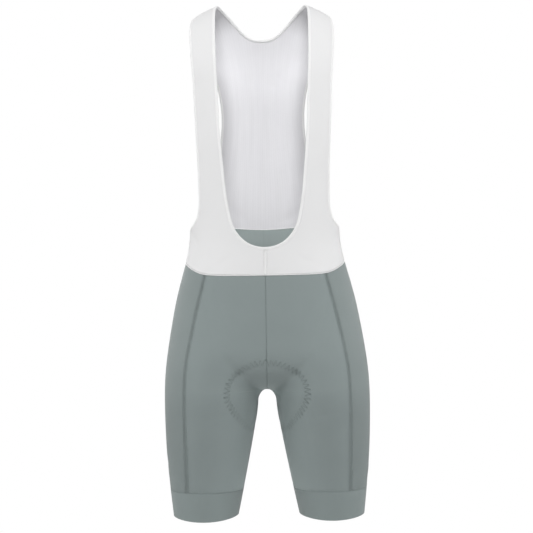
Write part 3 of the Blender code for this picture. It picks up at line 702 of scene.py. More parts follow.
def shortLevels():
    s = shorts
    close = np.array(s["edgeSteps"]) / s["levelLength"]
    trunk = np.concatenate([close[:-1], np.linspace(close[-1], 1, s["trunkRows"] + 1)])
    leg = np.concatenate([np.linspace(1, 2 - close[-1], s["legRows"] + 1)[1:], 2 - close[-2::-1]])
    return np.concatenate([trunk, leg])


def shortPanel(name, side, turnStops, columns, width, finish, edgeShades):
    s, levels = shorts, shortLevels()
    stops = [np.broadcast_to(stop(levels) if callable(stop) else stop, levels.shape) for stop in turnStops]
    share = crowded(columns * (len(stops) - 1), width, s["edgeSteps"])
    turn = np.stack([np.interp(share, np.linspace(0, 1, len(stops)), row) for row in zip(*stops)])
    low = levels[:, None]
    points, normals = shortPlace(turn, low, side)
    across, down = runLengths(points, 1), runLengths(points, 0)
    left = across[:, -1:] - across
    pull = seamPull(across, down, side) + seamPull(left, down, 2 + side)
    pull += seamPull(down, across, 4 + side) + seamPull(down[-1:] - down, across, 6 + side)
    uv = np.stack([across - across[:, -1:] / 2, -down], axis=-1)
    # a little darker inside the pad's edge, and painted shade beside the seams
    shade = s["padShade"] * insidePad(turn, low)
    shade = shade + sum(depth * bell(off, reach) for off, (reach, depth) in zip((across, left), edgeShades))
    # painted shade on the thighs, darker down the legs where less light falls, and painted light on their
    # inner sides, which the other leg shades
    nearInner = bell(np.minimum(turn, 4 - turn), s["innerReach"])
    shade += s["thighShade"] * smoothStep(low, *s["thighLevels"]) * (1 - nearInner)
    shade += s["innerShade"] * smoothStep(low, *s["innerLevels"]) * nearInner
    panel = grid(points + normals * pull[..., None], normals, uv, shade=shade)
    piece = clothMesh(name, [panel], finish)
    giveWall(piece, s["wall"], sageReverseAndPaintedLight)
    return piece, "sage_knit", cutSize(panel["points"], s["stretch"])


cloth = {}  # what stands for each node: a piece, its slot and its cut
for letter, side in sides.items():
    for part, panel in shortPanels.items():
        ends = part + "_" + letter
        cloth["short_" + ends.lower()] = shortPanel("short" + ends, side, *panel)
print("shorts:", len(cloth), "panels")

# Leg bands: a strip folded at the hem, its two layers just apart.

legBand = {
    "proud": 0.25, "layer": 0.95, "slot": 0.1, "rows": 15, "foldSteps": 6, "stretch": 1.04,
    "topDepth": 0.38, "topWidth": 1.6, "columns": (44, 16, 16, 50), "edgeSteps": (0.0, 0.8, 2.0),
    "topAbove": -0.5,
}


# the band's cut edge to edge: shares of its height from the top, and distances out from the figure
def bandProfile():
    b = legBand
    outer, inner = b["proud"], b["proud"] - 2 * b["layer"] - b["slot"]
    middle, radius = (outer + inner) / 2, (outer - inner) / 2
    height = figure["bandTop"] - figure["hem"]
    end, tight = 1 - radius / height, b["slot"] / 2
    run = crowded(b["rows"], height, b["edgeSteps"])
    angle = np.linspace(math.pi / 2, -math.pi / 2, b["foldSteps"] + 1)
    shares = [run * end, end + np.cos(angle[1:-1]) * radius / height, run[::-1] * end, [0.0],
              run * end, [end], run[::-1] * end, [0.0]]
    heights = [run * 0 + outer, middle + np.sin(angle[1:-1]) * radius, run * 0 + inner,
               [(inner + middle) / 2], run * 0 + middle - tight, [middle], run * 0 + middle + tight,
               [(outer + middle) / 2]]
    return np.concatenate(shares), np.concatenate(heights)


def legBandPiece(name, side):
    b = legBand
    stops = (0, float(frontSeam(2.0)), 2, float(backSeam(2.0)), 4)
    turn = np.concatenate([np.linspace(p, q, n, False) for p, q, n in zip(stops, stops[1:], b["columns"])])
    share, height = (part[:, None] for part in bandProfile())
    hem = figure["hem"] - figure["hemDip"] * np.sin(math.pi * turn / 2)**2
    station = figure["bandTop"] + (hem - figure["bandTop"]) * share
    normals = unit(np.cross(*figureSlopes(turn, station, turn <= 2)))
    top = bell(figure["bandTop"] - station, b["topWidth"]) * (height > b["topAbove"])
    points = figurePoint(turn, station)
    points += normals * (creaseShift(turn, station, side) + height - b["topDepth"] * top)[..., None]
    around = runLengths(np.concatenate([points[:1], points[:1, :1]], axis=1), 1)[0]
    closed = np.concatenate([station, station[:1]])
    uv = np.stack(alike(around, np.concatenate([closed, closed[:, :1]], axis=1)), axis=-1)
    facing = normals * (np.arange(len(share)) < len(share) / 4)[:, None, None]
    band = grid(points * (side, 1, 1), facing * (side, 1, 1), uv, True)
    cut = {"flat": (around[-1] * mm / b["stretch"], 2 * (figure["bandTop"] - figure["hem"]) * mm)}
    return clothMesh(name, [band], sageBand), "sage_band", cut


for letter, side in sides.items():
    cloth["leg_band_" + letter] = legBandPiece("legBand_" + letter, side)
print("leg bands made")

# Bib: the finished edges first, then the panels between them.

bib = {
    "tapeWidth": 5.0, "underTape": 1.2, "crowd": 0.065, "bladeFoot": -385.0, "turnSpan": 70, "samples": 241,
    "wall": 1.2, "stretch": 1.04, "turnSize": 97.0, "seamDepth": 0.18, "seamWidth": 1.5,
    "frontLength": 560.0, "backLength": 475.0, "edgeShade": 1.1, "edgeReach": 24.0,
    "topShade": 0.8, "topEnds": (-20, 60), "yokeShade": -0.8, "yokeFoot": (-190, -70), "yokeHead": (-40, 10),
}
# rows and columns of the bib's grids
steps = {
    "front": 48, "side": 18, "back": 54, "strap": 24, "belly": 24, "frontStrap": 108, "blade": 78,
    "backStrap": 30,
}


class BibEdge:
    # a smooth line on the figure from its foot to the shoulder line
    def __init__(self, points, isFront, inwardSign, rows, crowd):
        share = np.arange(rows + 1) / rows
        self.shares = share - crowd * np.sin(math.tau * share)
        self.isFront, self.inwardSign = isFront, inwardSign
        places = np.array([(float(turnAt(x, station, isFront)), station) for x, station in points])
        self.footTurn = 2.0 if points[0][0] else 4.0 * (not isFront)
        places[0, 0] = self.footTurn
        # a point before the foot mirrors the next one, so that the edge is level at its foot
        before = (2 * self.footTurn - places[1, 0], places[1, 1])
        places = np.concatenate([[before], places])
        spans = np.linalg.norm(np.diff(places, axis=0) * (bib["turnSpan"], 1), axis=1)
        knots = np.concatenate([[0], np.cumsum(spans)])
        self.curve = splineThrough(knots, places)
        self.samples = np.linspace(knots[1], knots[-1], bib["samples"])
        self.lengths = runLengths(figurePoint(*self.curve(self.samples).T), 0)

    def at(self, distance):
        place = self.curve(np.interp(distance, self.lengths, self.samples))
        return np.clip(place[..., 0], *((0, 2) if self.isFront else (2, 4))), place[..., 1]

    # turns and stations a width in from the edge, at shares of its length
    def inset(self, share, width):
        share, width = alike(share, width)
        distance, step = self.lengths[-1] * share, search["edgeStep"]
        low, high = np.maximum(distance - step, 0), np.minimum(distance + step, self.lengths[-1])
        direction = unit(figurePoint(*self.at(high)) - figurePoint(*self.at(low)))
        turn, station = self.at(distance)
        a, b = figureSlopes(turn, station, self.isFront)
        inward = self.inwardSign * np.cross(direction, unit(np.cross(a, b))) * width[..., None]
        aa, ab, bb = (a * a).sum(-1), (a * b).sum(-1), (b * b).sum(-1)
        av, bv = (a * inward).sum(-1), (b * inward).sum(-1)
        spread = aa * bb - ab * ab
        turn = np.where(share == 0, self.footTurn, turn + (av * bb - bv * ab) / spread)
        station = station + (bv * aa - av * ab) / spread
        return np.stack([turn, np.where(share == 1, figure["shoulderLine"], station)], axis=-1)

    def line(self):
        return self.inset(self.shares, bib["tapeWidth"] - bib["underTape"])


neckSteps = {part: steps[part] - steps["strap"] for part in ("front", "back")}
bladeTop = steps["side"] + steps["blade"]
edges = {
    ("neck", "front"): BibEdge(neckFront, True, 1, neckSteps["front"] + steps["frontStrap"], bib["crowd"]),
    ("arm", "front"): BibEdge(armFront, True, -1, steps["side"] + steps["frontStrap"], bib["crowd"]),
    ("neck", "back"): BibEdge(neckBack, False, -1, neckSteps["back"] + steps["backStrap"], 0.0),
    ("arm", "back"): BibEdge(armBack, False, 1, bladeTop + steps["backStrap"], bib["crowd"]),
}


def straight(start, end, count):
    return np.linspace(start, end, count + 1)


# places filling a four-sided patch, from those on its sides
def patch(bottom, top, inner, outer):
    u = np.linspace(0, 1, len(bottom))[None, :, None]
    v = np.linspace(0, 1, len(inner))[:, None, None]
    along = (1 - v) * bottom[None] + v * top[None] + (1 - u) * inner[:, None] + u * outer[:, None]
    low, high = (1 - u) * bottom[0] + u * bottom[-1], (1 - u) * top[0] + u * top[-1]
    return along - (1 - v) * low - v * high


def waistFeet(part, centre, seam):
    turn = np.linspace(centre, seam(0.0), steps[part], False)
    turn = np.concatenate([turn, np.linspace(seam(0.0), 2.0, steps["side"] + 1)])
    return np.stack([turn, waistAt(turn)], axis=-1)


def betweenSeams(bottom, top):
    return patch(bottom, top, *(straight(bottom[i], top[i], steps["belly"]) for i in (0, -1)))


def bibFrontPatches():
    neck, arm = edges["neck", "front"].line(), edges["arm", "front"].line()
    first, out = neckSteps["front"], steps["side"]
    base = straight(neck[first], arm[out], steps["strap"])
    shoulder = straight(neck[-1], arm[-1], steps["strap"])
    top = np.concatenate([neck[:first], base, arm[:out][::-1]])
    belly = betweenSeams(waistFeet("front", 0.0, frontSeam), top)
    return belly, patch(base, shoulder, neck[first:], arm[out:])


def bibBackPatches():
    neck, arm = edges["neck", "back"].line(), edges["arm", "back"].line()
    first, out = neckSteps["back"], steps["side"]
    base = straight((4.0, bib["bladeFoot"]), arm[out], steps["back"])
    yoke = np.concatenate([neck[:first], straight(neck[first], arm[bladeTop], steps["strap"])])
    shoulder = straight(neck[-1], arm[-1], steps["strap"])
    lower = betweenSeams(waistFeet("back", 4.0, backSeam), np.concatenate([base, arm[:out][::-1]]))
    blade = patch(base, yoke, straight(base[0], yoke[0], steps["blade"]), arm[out:bladeTop + 1])
    return lower, blade, patch(yoke[first:], shoulder, neck[first:], arm[bladeTop:])


# how deep the bib's seams draw it in: at the waist, the sides, the shoulders and the centre front
def bibPull(turn, station, isFront):
    size, width = bib["turnSize"], bib["seamWidth"]
    gaps = [station - waistAt(turn), (2 - turn) * size, station - figure["shoulderLine"]]
    gaps += [turn * size] if isFront else []
    return -bib["seamDepth"] * sum(bell(gap, width) for gap in gaps)


def bibGrid(places, isFront, side):
    turn, station = places[..., 0], places[..., 1]
    points, normals = bibPlace(turn, station, isFront, side, bibPull(turn, station, isFront))
    # painted shadow on the back panel near its armhole edges, where the straps shade its inside, and painted
    # shade at the strap tops; both faces carry it
    rim = figurePoint(*edges["arm", "back"].at(edges["arm", "back"].lengths)) * (side, 1, 1)
    shade = bib["edgeShade"] * bell(nearest(points, rim), bib["edgeReach"])
    shade = shade + bib["topShade"] * smoothStep(station, *bib["topEnds"])
    # painted light: the yoke's inside leans down, away from the light, so it is painted lighter
    yoke = smoothStep(station, *bib["yokeFoot"]) * smoothStep(-station, *bib["yokeHead"])
    shade = shade + bib["yokeShade"] * yoke
    uv = np.stack([turn * bib["turnSize"] * side, station], axis=-1)
    return grid(points, normals, uv, shade=0.0 if isFront else shade)


def bibPiece(name, patches, isFront, bothSides, finish, inside, slot):
    grids = [bibGrid(places, isFront, side) for side in bothSides for places in patches]
    piece = clothMesh(name, grids, finish, True)
    giveWall(piece, bib["wall"], inside)
    # a front is too slim for its bounding box, so its cut is given by its length and mean width
    area = sum(gridArea(g["points"]) for g in grids) / bib["stretch"] * mm * mm
    length = bib["frontLength" if isFront else "backLength"] * mm
    return piece, slot, {"flat": (area / length, length)}


for letter, side in sides.items():
    cloth["bib_front_" + letter] = bibPiece(
        "bibFront_" + letter, bibFrontPatches(), True, (side,), whiteKnit, whiteKnit, "white_knit")
cloth["bib_back"] = bibPiece(
    "bibBack", bibBackPatches(), False, sides.values(), whiteMesh, meshInsidePaintedShade, "white_mesh")
print("bib made")

# Tapes: a strip folded over each edge of the bib, stitched through.

tape = {
    "proud": 0.3, "whole": 2.1, "strip": 0.5, "nose": 1.0, "step": 3.0, "stretch": 1.02,
    "ripple": 0.10, "rippleSpan": 17.0, "rippleWander": 2.0, "rippleDrift": 1.7, "noseSteps": 5,
    "innerShade": 1.6, "behind": 10.0,
}


# the folded strip's outline, as distances in from the edge and out from the figure
def tapeProfile():
    t, width = tape, bib["tapeWidth"]
    outer, inner = t["proud"], t["proud"] - t["whole"]
    middle = (outer + inner) / 2
    angle = np.linspace(math.pi / 2, -math.pi / 2, t["noseSteps"] + 2)

    def fold(radius, top):
        return [(t["nose"] - radius * np.cos(a), middle + top * np.sin(a)) for a in angle]

    lip = width - t["strip"] / 2
    outside = [(width, outer - t["strip"] / 2), (lip, outer), (width / 2, outer)]
    outside += fold(t["nose"], outer - middle)
    outside += [(width / 2, inner), (lip, inner), (width, inner + t["strip"] / 2)]
    inside = fold(t["nose"] - t["strip"], outer - t["strip"] - middle)[::-1]
    inside = [(lip, inner + t["strip"])] + inside + [(lip, outer - t["strip"])]
    return np.array(outside + inside)


# frames along one half of a tape: places on both sides of it, up the front and down the back
def tapeFrames(kind, side):
    rows = []
    for isFront in (True, False):
        edge = edges[kind, "front" if isFront else "back"]
        share = np.linspace(0, 1, int(edge.lengths[-1] / tape["step"]) + 1)
        places = edge.inset(share[:, None], np.array([[0.0, bib["tapeWidth"]]]))
        points, normals = bibPlace(places[..., 0], places[..., 1], isFront, side)
        rows.append((points, normals) if isFront else (points[-2::-1], normals[-2::-1]))
    return tuple(np.concatenate(parts) for parts in zip(*rows))


def tapeRing(kind, letter):
    if kind == "arm":
        return [part[:-1] for part in tapeFrames(kind, sides[letter])]
    return joinHalves(*(tapeFrames(kind, side) for side in sides.values()))


# points and normals of the tape at a width from the edge and a height over the cloth
def onTape(ring, width, height):
    points, normals = ring
    share = np.asarray(width, float)[..., None] / bib["tapeWidth"]
    middle = np.concatenate([points[:, 0], points[:1, 0]])
    along = runLengths(middle, 0)[:-1]
    spans = along / tape["rippleSpan"]
    wave = np.sin(math.tau * spans + tape["rippleWander"] * np.sin(spans / tape["rippleDrift"]))
    lift = np.asarray(height, float) + (tape["ripple"] * wave)[:, None]
    across = unit(normals[:, None, 0] * (1 - share) + normals[:, None, 1] * share)
    flat = points[:, None, 0] * (1 - share) + points[:, None, 1] * share
    return flat + across * lift[..., None], across, along


def tapePiece(name, ring):
    profile = tapeProfile()
    points, normals, along = onTape(ring, profile[None, :, 0], profile[None, :, 1])
    ends = runLengths(np.concatenate([points[0], points[0][:1]]), 0)
    length = along[-1] + float(np.linalg.norm(ring[0][-1, 0] - ring[0][0, 0]))
    uv = np.stack(alike(ends[None], np.append(along, length)[:, None]), axis=-1)
    facing = normals * (np.arange(len(profile)) < 2)[None, :, None]
    # painted shade at the back on the inner side of an armhole tape, and painted light on that of the neck
    behind = (profile[None, :, 1] < -tape["whole"] / 2) & (points[..., 1] > tape["behind"])
    shade = tape["innerShade"] * (1 if name.startswith("arm") else -1) * behind
    piece = clothMesh(name, [grid(points, facing, uv, True, shade)], whiteTape)
    width = 2 * bib["tapeWidth"] + tape["whole"]
    return piece, "white_tape", {"flat": (width * mm, length / tape["stretch"] * mm)}


tapeRings = {"neck_tape": tapeRing("neck", "l")}
tapeRings.update(("arm_tape_" + letter, tapeRing("arm", letter)) for letter in sides)
for node, ring in tapeRings.items():
    cloth[node] = tapePiece(node.replace("_tape", "Tape"), ring)
print("tapes:", len(tapeRings))

# Seat pad: thick in the middle, thin at its edge, with a channel down its middle.

seatPad = {
    "rowsAbove": 46, "rowsBelow": 44, "columns": 26, "gap": 0.5, "edgeGap": 1.6, "gapReach": 8.0,
    "thick": 9.0, "edge": 2.2, "slope": 25.0, "channel": 3.0, "channelWidth": 8.0, "channelFade": 24.0,
    "fill": 0.5,
}


def padGrid(isFront, side):
    s, p = seatPad, padShape
    above = np.linspace(p["topFront"] if isFront else p["topBack"], 1, s["rowsAbove"] + 1)
    level = np.concatenate([above, np.linspace(1, p["foot"], s["rowsBelow"] + 1)[1:]])
    centre, out = (0.0, padFrontTurn(level)) if isFront else (4.0, padBackTurn(level))
    share = np.linspace(0, 1, s["columns"] + 1)
    turn = centre + (out[:, None] - centre) * share
    points, normals = shortPlace(turn, level[:, None], side, -figure["cloth"])
    across, down = runLengths(points, 1), runLengths(points, 0)
    return grid(points, normals, np.stack([across * side, down * (1 if isFront else -1)], axis=-1))


# a closed pad from its outer face: the inner face is set in by the thickness at each point
def stuffed(piece, s):
    mesh = piece.data
    count = len(mesh.vertices)
    outer, normals = np.zeros(count * 3), np.zeros(count * 3)
    mesh.vertices.foreach_get("co", outer)
    mesh.vertex_normals.foreach_get("vector", normals)
    outer, normals = outer.reshape(-1, 3) / mm, normals.reshape(-1, 3)
    shape = bmesh.new()
    shape.from_mesh(mesh)
    rim = np.array([v.index for v in shape.verts if v.is_boundary])
    inward = nearest(outer, outer[rim])
    gap = s["edgeGap"] + (s["gap"] - s["edgeGap"]) * smoothStep(inward, 0, s["gapReach"])
    thick = s["edge"] + (s["thick"] - s["edge"]) * smoothStep(inward, 0, s["slope"])
    thick -= s["channel"] * bell(outer[:, 0], s["channelWidth"]) * smoothStep(inward, 0, s["channelFade"])
    outer = outer - normals * gap[:, None]
    inner = (outer - normals * thick[:, None]) * mm
    shape.verts.ensure_lookup_table()
    rimEdges, faces = [e for e in shape.edges if e.is_boundary], list(shape.faces)
    made = [shape.verts.new(point) for point in inner]
    for face in faces:
        shape.faces.new([made[v.index] for v in reversed(face.verts)])
    for edge in rimEdges:
        corner = edge.link_loops[0]
        a, b = corner.vert, corner.link_loop_next.vert
        shape.faces.new([b, a, made[a.index], made[b.index]])
    for vertex, point in zip(list(shape.verts)[:count], outer * mm):
        vertex.co = point
    shape.to_mesh(mesh)
    shape.free()
    mesh.shade_smooth()


padGrids = [padGrid(isFront, side) for isFront in (True, False) for side in sides.values()]
padPiece = clothMesh("seatPad", padGrids, padCloth, True)
stuffed(padPiece, seatPad)
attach(padPiece, body)
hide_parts("seat_pad")
print("seat pad:", len(padPiece.data.polygons), "faces")

# Sewing: Geometry Nodes lay thread along paths that know the cloth's normal.

sewing = {
    "flatLift": 0.06, "needleLift": 0.05, "whiteLift": 0.3, "waistLift": 0.55, "waistInside": -1.55,
    "bandLift": -0.05, "bandRowLift": 0.1, "centreLift": -0.18, "padLift": 0.3, "tapeLift": 0.05,
    "bandRowRise": 3.4, "bellyFoot": 1.5, "bellyHead": 5.5, "underArm": 6.5, "tapeRows": (1.4, 3.6),
    "ringSteps": 240, "legSteps": 160, "downSteps": 200, "shortSteps": 20, "threadSides": 5, "bendSteps": 3,
    "stitchSides": 6, "stitchRings": 4,
}
# how far points stray, as a share of the thread's thickness, and the seed of their chance
uneven = {"zigzag": (0.12, 7), "row": (0.1, 11)}
# the kinds of sewing, in mm; a zigzag's width is all of its swing
zigzagKinds = {
    "sideSeam": {"pitch": 2.6, "width": 7.6, "thickness": 0.60},
    "slimSeam": {"pitch": 1.8, "width": 1.5, "thickness": 0.42},
    "waist": {"pitch": 1.6, "width": 0.7, "thickness": 1.05},
    "pad": {"pitch": 7.8, "width": 11.6, "thickness": 0.85},
    "whiteSeam": {"pitch": 1.0, "width": 5.0, "thickness": 0.72},
}
stitchKinds = {
    "needle": {"pitch": 2.6, "length": 2.0, "thickness": 0.55},
    "tape": {"pitch": 2.8, "length": 2.1, "thickness": 0.45},
}


def newTree(name, sizes):
    tree = bpy.data.node_groups.new(name, "GeometryNodeTree")
    tree.interface.new_socket("Geometry", in_out="INPUT", socket_type="NodeSocketGeometry")
    for size in sizes:
        tree.interface.new_socket(size, in_out="INPUT", socket_type="NodeSocketFloat")
    tree.interface.new_socket("finish", in_out="INPUT", socket_type="NodeSocketMaterial")
    tree.interface.new_socket("Geometry", in_out="OUTPUT", socket_type="NodeSocketGeometry")
    return tree, put(tree, "NodeGroupInput")


def vectorCalc(tree, operation, *values, **named):
    return put(tree, "ShaderNodeVectorMath", {**dict(enumerate(values)), **named}, operation=operation)[0]


# evenly spaced points on the paths, set off across and over the cloth and straying a little by chance
def threadPath(tree, source, pitch, sideways, straying, seed):
    path = put(tree, "GeometryNodeMeshToCurve", {"Mesh": source["Geometry"]})[0]
    path = put(tree, "GeometryNodeResampleCurve", {"Curve": path, "Length": pitch}, mode="LENGTH")[0]
    tangent = put(tree, "GeometryNodeInputTangent")[0]
    normal = put(tree, "GeometryNodeInputNamedAttribute", {"Name": "seamNormal"}, data_type="FLOAT_VECTOR")[0]
    across = vectorCalc(tree, "NORMALIZE", vectorCalc(tree, "CROSS_PRODUCT", tangent, normal))
    chance = put(tree, "FunctionNodeRandomValue", {0: (-1, -1, -1), 1: (1, 1, 1), "Seed": seed},
                 data_type="FLOAT_VECTOR")[0]
    stray = calc(tree, "MULTIPLY", source["thickness"], straying)
    shift = vectorCalc(tree, "SCALE", across, Scale=sideways)
    for way, size in ((normal, source["lift"]), (chance, stray)):
        shift = vectorCalc(tree, "ADD", shift, vectorCalc(tree, "SCALE", way, Scale=size))
    return put(tree, "GeometryNodeSetPosition", {"Geometry": path, "Offset": shift})[0], tangent, normal


def finished(tree, shape, finish):
    smooth = put(tree, "GeometryNodeSetShadeSmooth", {"Geometry": shape})[0]
    real = put(tree, "GeometryNodeRealizeInstances", {"Geometry": smooth})[0]
    done = put(tree, "GeometryNodeSetMaterial", {"Geometry": real, "Material": finish})[0]
    put(tree, "NodeGroupOutput", {"Geometry": done})


def zigzagTree():
    tree, source = newTree("zigzagThread", ("pitch", "width", "lift", "thickness"))
    parity = calc(tree, "MODULO", put(tree, "GeometryNodeInputIndex")[0], 2.0)
    swing = calc(tree, "MULTIPLY", calc(tree, "SUBTRACT", parity, 0.5), source["width"])
    half = calc(tree, "DIVIDE", source["pitch"], 2.0)
    path, _, _ = threadPath(tree, source, half, swing, *uneven["zigzag"])
    path = put(tree, "GeometryNodeCurveSplineType", {"Curve": path}, spline_type="CATMULL_ROM")[0]
    path = put(tree, "GeometryNodeSetSplineResolution",
               {"Geometry": path, "Resolution": sewing["bendSteps"]})[0]
    radius = calc(tree, "DIVIDE", source["thickness"], 2.0)
    ring = put(tree, "GeometryNodeCurvePrimitiveCircle",
               {"Resolution": sewing["threadSides"], "Radius": radius}, mode="RADIUS")[0]
    shape = put(tree, "GeometryNodeCurveToMesh", {"Curve": path, "Profile Curve": ring, "Fill Caps": True})[0]
    finished(tree, shape, source["finish"])
    return tree


def rowTree():
    tree, source = newTree("stitchRow", ("pitch", "shift", "lift", "length", "thickness"))
    path, tangent, normal = threadPath(tree, source, source["pitch"], source["shift"], *uneven["row"])
    stitch = put(tree, "GeometryNodeMeshUVSphere",
                 {"Segments": sewing["stitchSides"], "Rings": sewing["stitchRings"], "Radius": 0.5})[0]
    turned = put(tree, "FunctionNodeAlignRotationToVector", {"Vector": normal}, axis="Z")[0]
    turned = put(tree, "FunctionNodeAlignRotationToVector", {"Rotation": turned, "Vector": tangent},
                 axis="X", pivot_axis="Z")[0]
    size = put(tree, "ShaderNodeCombineXYZ",
               {"X": source["length"], "Y": source["thickness"], "Z": source["thickness"]})[0]
    placed = {"Points": path, "Instance": stitch, "Rotation": turned, "Scale": size}
    finished(tree, put(tree, "GeometryNodeInstanceOnPoints", placed)[0], source["finish"])
    return tree


zigzagThread, stitchRow = zigzagTree(), rowTree()


# one mesh of open or closed runs of points, each point with the cloth's normal
def pathMesh(name, paths):
    points, normals, edges, start = [], [], [], 0
    for place, normal, closed in paths:
        count = len(place)
        points.append(place * mm)
        normals.append(normal)
        edges += [(start + i, start + (i + 1) % count) for i in range(count if closed else count - 1)]
        start += count
    mesh = bpy.data.meshes.new(name)
    mesh.from_pydata(np.concatenate(points).tolist(), edges, [])
    mesh.attributes.new("seamNormal", "FLOAT_VECTOR", "POINT").data.foreach_set(
        "vector", np.concatenate(normals).ravel())
    return mesh


# the thread that a tree lays along paths, as a plain mesh; sizes in mm
def threadMesh(paths, tree, sizes, finish):
    holder = addObject("threadPaths", pathMesh("threadPaths", paths))
    layer = holder.modifiers.new("thread", "NODES")
    layer.node_group = tree
    for item in tree.interface.items_tree:
        if item.in_out == "INPUT" and item.name != "Geometry":
            layer[item.identifier] = finish if item.name == "finish" else sizes[item.name] * mm
    made = bpy.data.meshes.new_from_object(holder.evaluated_get(bpy.context.evaluated_depsgraph_get()))
    bpy.data.objects.remove(holder)
    return made


trims = {}  # the sewing that goes with each node's sheet


# a piece of sewing from runs of (paths, tree, sizes)
def sewOn(node, name, finish, runs):
    joined = bmesh.new()
    for paths, tree, sizes in runs:
        joined.from_mesh(threadMesh(paths, tree, sizes, finish))
    for face in joined.faces:
        face.material_index = 0
    mesh = bpy.data.meshes.new(name)
    joined.to_mesh(mesh)
    joined.free()
    mesh.shade_smooth()
    mesh.materials.append(finish)
    piece = addObject(name, mesh)
    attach(piece, body)
    trims.setdefault(node, []).append(piece)
    print(name + ":", len(mesh.polygons), "faces")


def zigzag(paths, kind, lift):
    return paths, zigzagThread, {**zigzagKinds[kind], "lift": sewing[lift]}


def stitches(paths, kind, lift, shift=0.0):
    return paths, stitchRow, {**stitchKinds[kind], "shift": shift, "lift": lift}


# a flat seam: thread to and fro over the join, held by a row of stitches on each side
def flatSeam(paths, kind, lift):
    reach, high = zigzagKinds[kind]["width"] / 2, sewing[lift] + sewing["needleLift"]
    return [zigzag(paths, kind, lift), *(stitches(paths, "needle", high, shift) for shift in (-reach, reach))]


def shortPath(turn, level, side, closed=False):
    return (*shortPlace(turn, level, side), closed)


# a run up the bib from the waist seam to a height
def bibRun(turn, head, side):
    station = np.linspace(waistAt(turn) + sewing["bellyFoot"], head, sewing["shortSteps"] + 1)
    return (*bibPlace(turn, station, True, side), False)


def padRing():
    halves = []
    for side in sides.values():
        placed, normal = shortPlace(padEdgeTurn, padEdgeLevel, side)
        shift = placed - shortFigure(padEdgeTurn, padEdgeLevel) * (side, 1, 1)
        halves.append((padEdge * (side, 1, 1) + shift, normal))
    return (*joinHalves(*halves), True)


# a ring round a leg, a rise over the seam of its band
def bandRing(rise, side):
    turn = np.linspace(0, 4, sewing["legSteps"] + 1)[:-1]
    down = (figure["bandTop"] + rise - figure["crotch"]) / (figure["bandTop"] - figure["crotch"])
    return shortPath(turn, 1 + down**(1 / crowding(turn)), side, True)


def shoulderRun(side):
    ends = [float(edges[kind, "front"].inset(1.0, bib["tapeWidth"])[0]) for kind in ("neck", "arm")]
    turn = np.linspace(*ends, sewing["shortSteps"] + 1)
    return (*bibPlace(turn, np.full(turn.shape, figure["shoulderLine"]), True, side), False)


def tapeRow(ring, width):
    points, normals, _ = onTape(ring, np.array([[width]]), np.array([[tape["proud"]]]))
    return points[:, 0], normals[:, 0], True


levels = np.linspace(0, 2, sewing["downSteps"] + 1)
halfRing = np.linspace(0, 4, sewing["ringSteps"] + 1)
centreRuns = [shortPath(turn, levels[levels <= 1], 1) for turn in (0.0, 4.0)]
centreRuns += [shortPath(0.0, levels[levels >= 1], side) for side in sides.values()]
waistRun = (*joinHalves(*(shortPlace(halfRing, 0.0, side) for side in sides.values())), True)
bibRuns = [bibRun(0.0, neckFront[0][1] - sewing["bellyHead"], 1)]
bibRuns += [bibRun(2.0, armFront[0][1] - sewing["underArm"], side) for side in sides.values()]
bibRuns += [shoulderRun(side) for side in sides.values()]

for letter, side in sides.items():
    seams = [shortPath(seam(levels), levels, side) for seam in (frontSeam, backSeam)]
    bandJoin, bandRow = bandRing(0.0, side), bandRing(sewing["bandRowRise"], side)
    sewOn("short_side_" + letter, "sideSewing_" + letter, sageThread,
          flatSeam(seams, "sideSeam", "flatLift"))
    sewOn("leg_band_" + letter, "bandSewing_" + letter, sageThread,
          [zigzag([bandJoin], "slimSeam", "bandLift"), stitches([bandRow], "needle", sewing["bandRowLift"])])
sewOn("short_front_l", "centreSewing", darkThread,
      [zigzag(centreRuns, "slimSeam", "centreLift")])
sewOn("short_back_l", "padSewing", padThread, [zigzag([padRing()], "pad", "padLift")])
sewOn("bib_back", "waistSewing", whiteThread,
      [zigzag([waistRun], "waist", lift) for lift in ("waistLift", "waistInside")])
sewOn("bib_front_l", "bibSewing", whiteThread, flatSeam(bibRuns, "whiteSeam", "whiteLift"))
for node, ring in tapeRings.items():
    paths = [tapeRow(ring, width) for width in sewing["tapeRows"]]
    sewOn(node, cloth[node][0].name + "Sewing", whiteThread,
          [stitches(paths, "tape", sewing["tapeLift"])])

for node, (piece, slot, cut) in cloth.items():
    declareCloth(piece, node)

# Floor, light and camera

stage = {
    "floorHeight": -1.28, "floorSize": 1.7, "floorTone": 0.93, "backdrop": 1.0, "roomLight": 0.04,
    "cameraPlace": (0.0022, -2.8, -0.471), "lens": 105.07, "sensor": 36, "roll": 0.9,
    "floorSides": 128, "floorRoughness": 0.9,
}
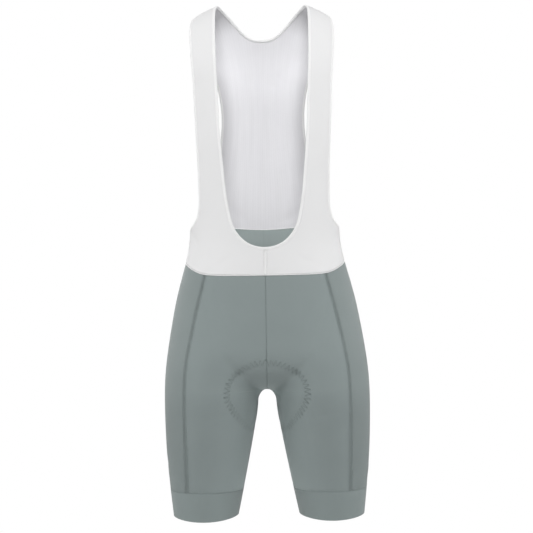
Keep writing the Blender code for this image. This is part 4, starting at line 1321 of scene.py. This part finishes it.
# name, place, height of its aim, size, and share, of a white room's light, on a face turned to it
lamps = [
    ("front", (0.0, -2.5, 1.6), -0.35, 1.0, 0.82),
    ("left", (-2.8, -0.3, 0.3), -0.35, 1.6, 0.41), ("right", (2.8, -0.3, 0.3), -0.35, 1.6, 0.44),
    ("leftBack", (-2.2, 1.8, 0.3), -0.45, 1.4, 0.22), ("rightBack", (2.2, 1.8, 0.3), -0.45, 1.4, 0.22),
    ("back", (-0.6, 3.0, 0.9), -0.45, 1.8, 0.50),
]


# a soft square lamp
def addLamp(name, place, aim, size, share):
    way = Vector((0, 0, aim)) - Vector(place)
    data = bpy.data.lights.new(name, "AREA")
    data.size, data.energy = size, share * math.pi**2 * way.length_squared
    lamp = addObject(name, data)
    lamp.location, lamp.rotation_euler = place, way.to_track_quat("-Z", "Y").to_euler()


def makeFloor():
    disc = bmesh.new()
    bmesh.ops.create_circle(disc, cap_ends=True, segments=stage["floorSides"], radius=stage["floorSize"])
    bmesh.ops.translate(disc, verts=disc.verts, vec=(0, 0, stage["floorHeight"]))
    mesh = bpy.data.meshes.new("floor")
    disc.to_mesh(mesh)
    disc.free()
    material, tree = newFinish("paleFloor")
    shader = tree.nodes["Principled BSDF"]
    shader.inputs["Base Color"].default_value = (*(stage["floorTone"],) * 3, 1)
    shader.inputs["Roughness"].default_value = stage["floorRoughness"]
    mesh.materials.append(material)
    addObject("floor", mesh)


# a white backdrop for the eye, with a gentler light on the garment
def makeRoom():
    world = bpy.data.worlds.new("studio")
    world.use_nodes = True
    tree = world.node_tree
    tree.nodes.clear()
    room, backdrop = (put(tree, "ShaderNodeBackground", {"Strength": stage[part]})[0]
                      for part in ("roomLight", "backdrop"))
    for source in (room, backdrop):
        source.node.inputs["Color"].default_value = (1, 1, 1, 1)
    seen = put(tree, "ShaderNodeLightPath")["Is Camera Ray"]
    shown = put(tree, "ShaderNodeMixShader", {0: seen, 1: room, 2: backdrop})[0]
    put(tree, "ShaderNodeOutputWorld", {"Surface": shown})
    bpy.context.scene.world = world


def addCamera():
    camera = addObject("camera", bpy.data.cameras.new("camera"))
    camera.data.sensor_width, camera.data.lens = stage["sensor"], stage["lens"]
    camera.location = stage["cameraPlace"]
    camera.rotation_euler = (math.pi / 2, math.radians(stage["roll"]), 0)
    bpy.context.scene.camera = camera


makeFloor()
makeRoom()
for lamp in lamps:
    addLamp(*lamp)
addCamera()
bpy.context.scene.view_settings.view_transform = "Standard"
print("stage:", len(lamps), "lamps")
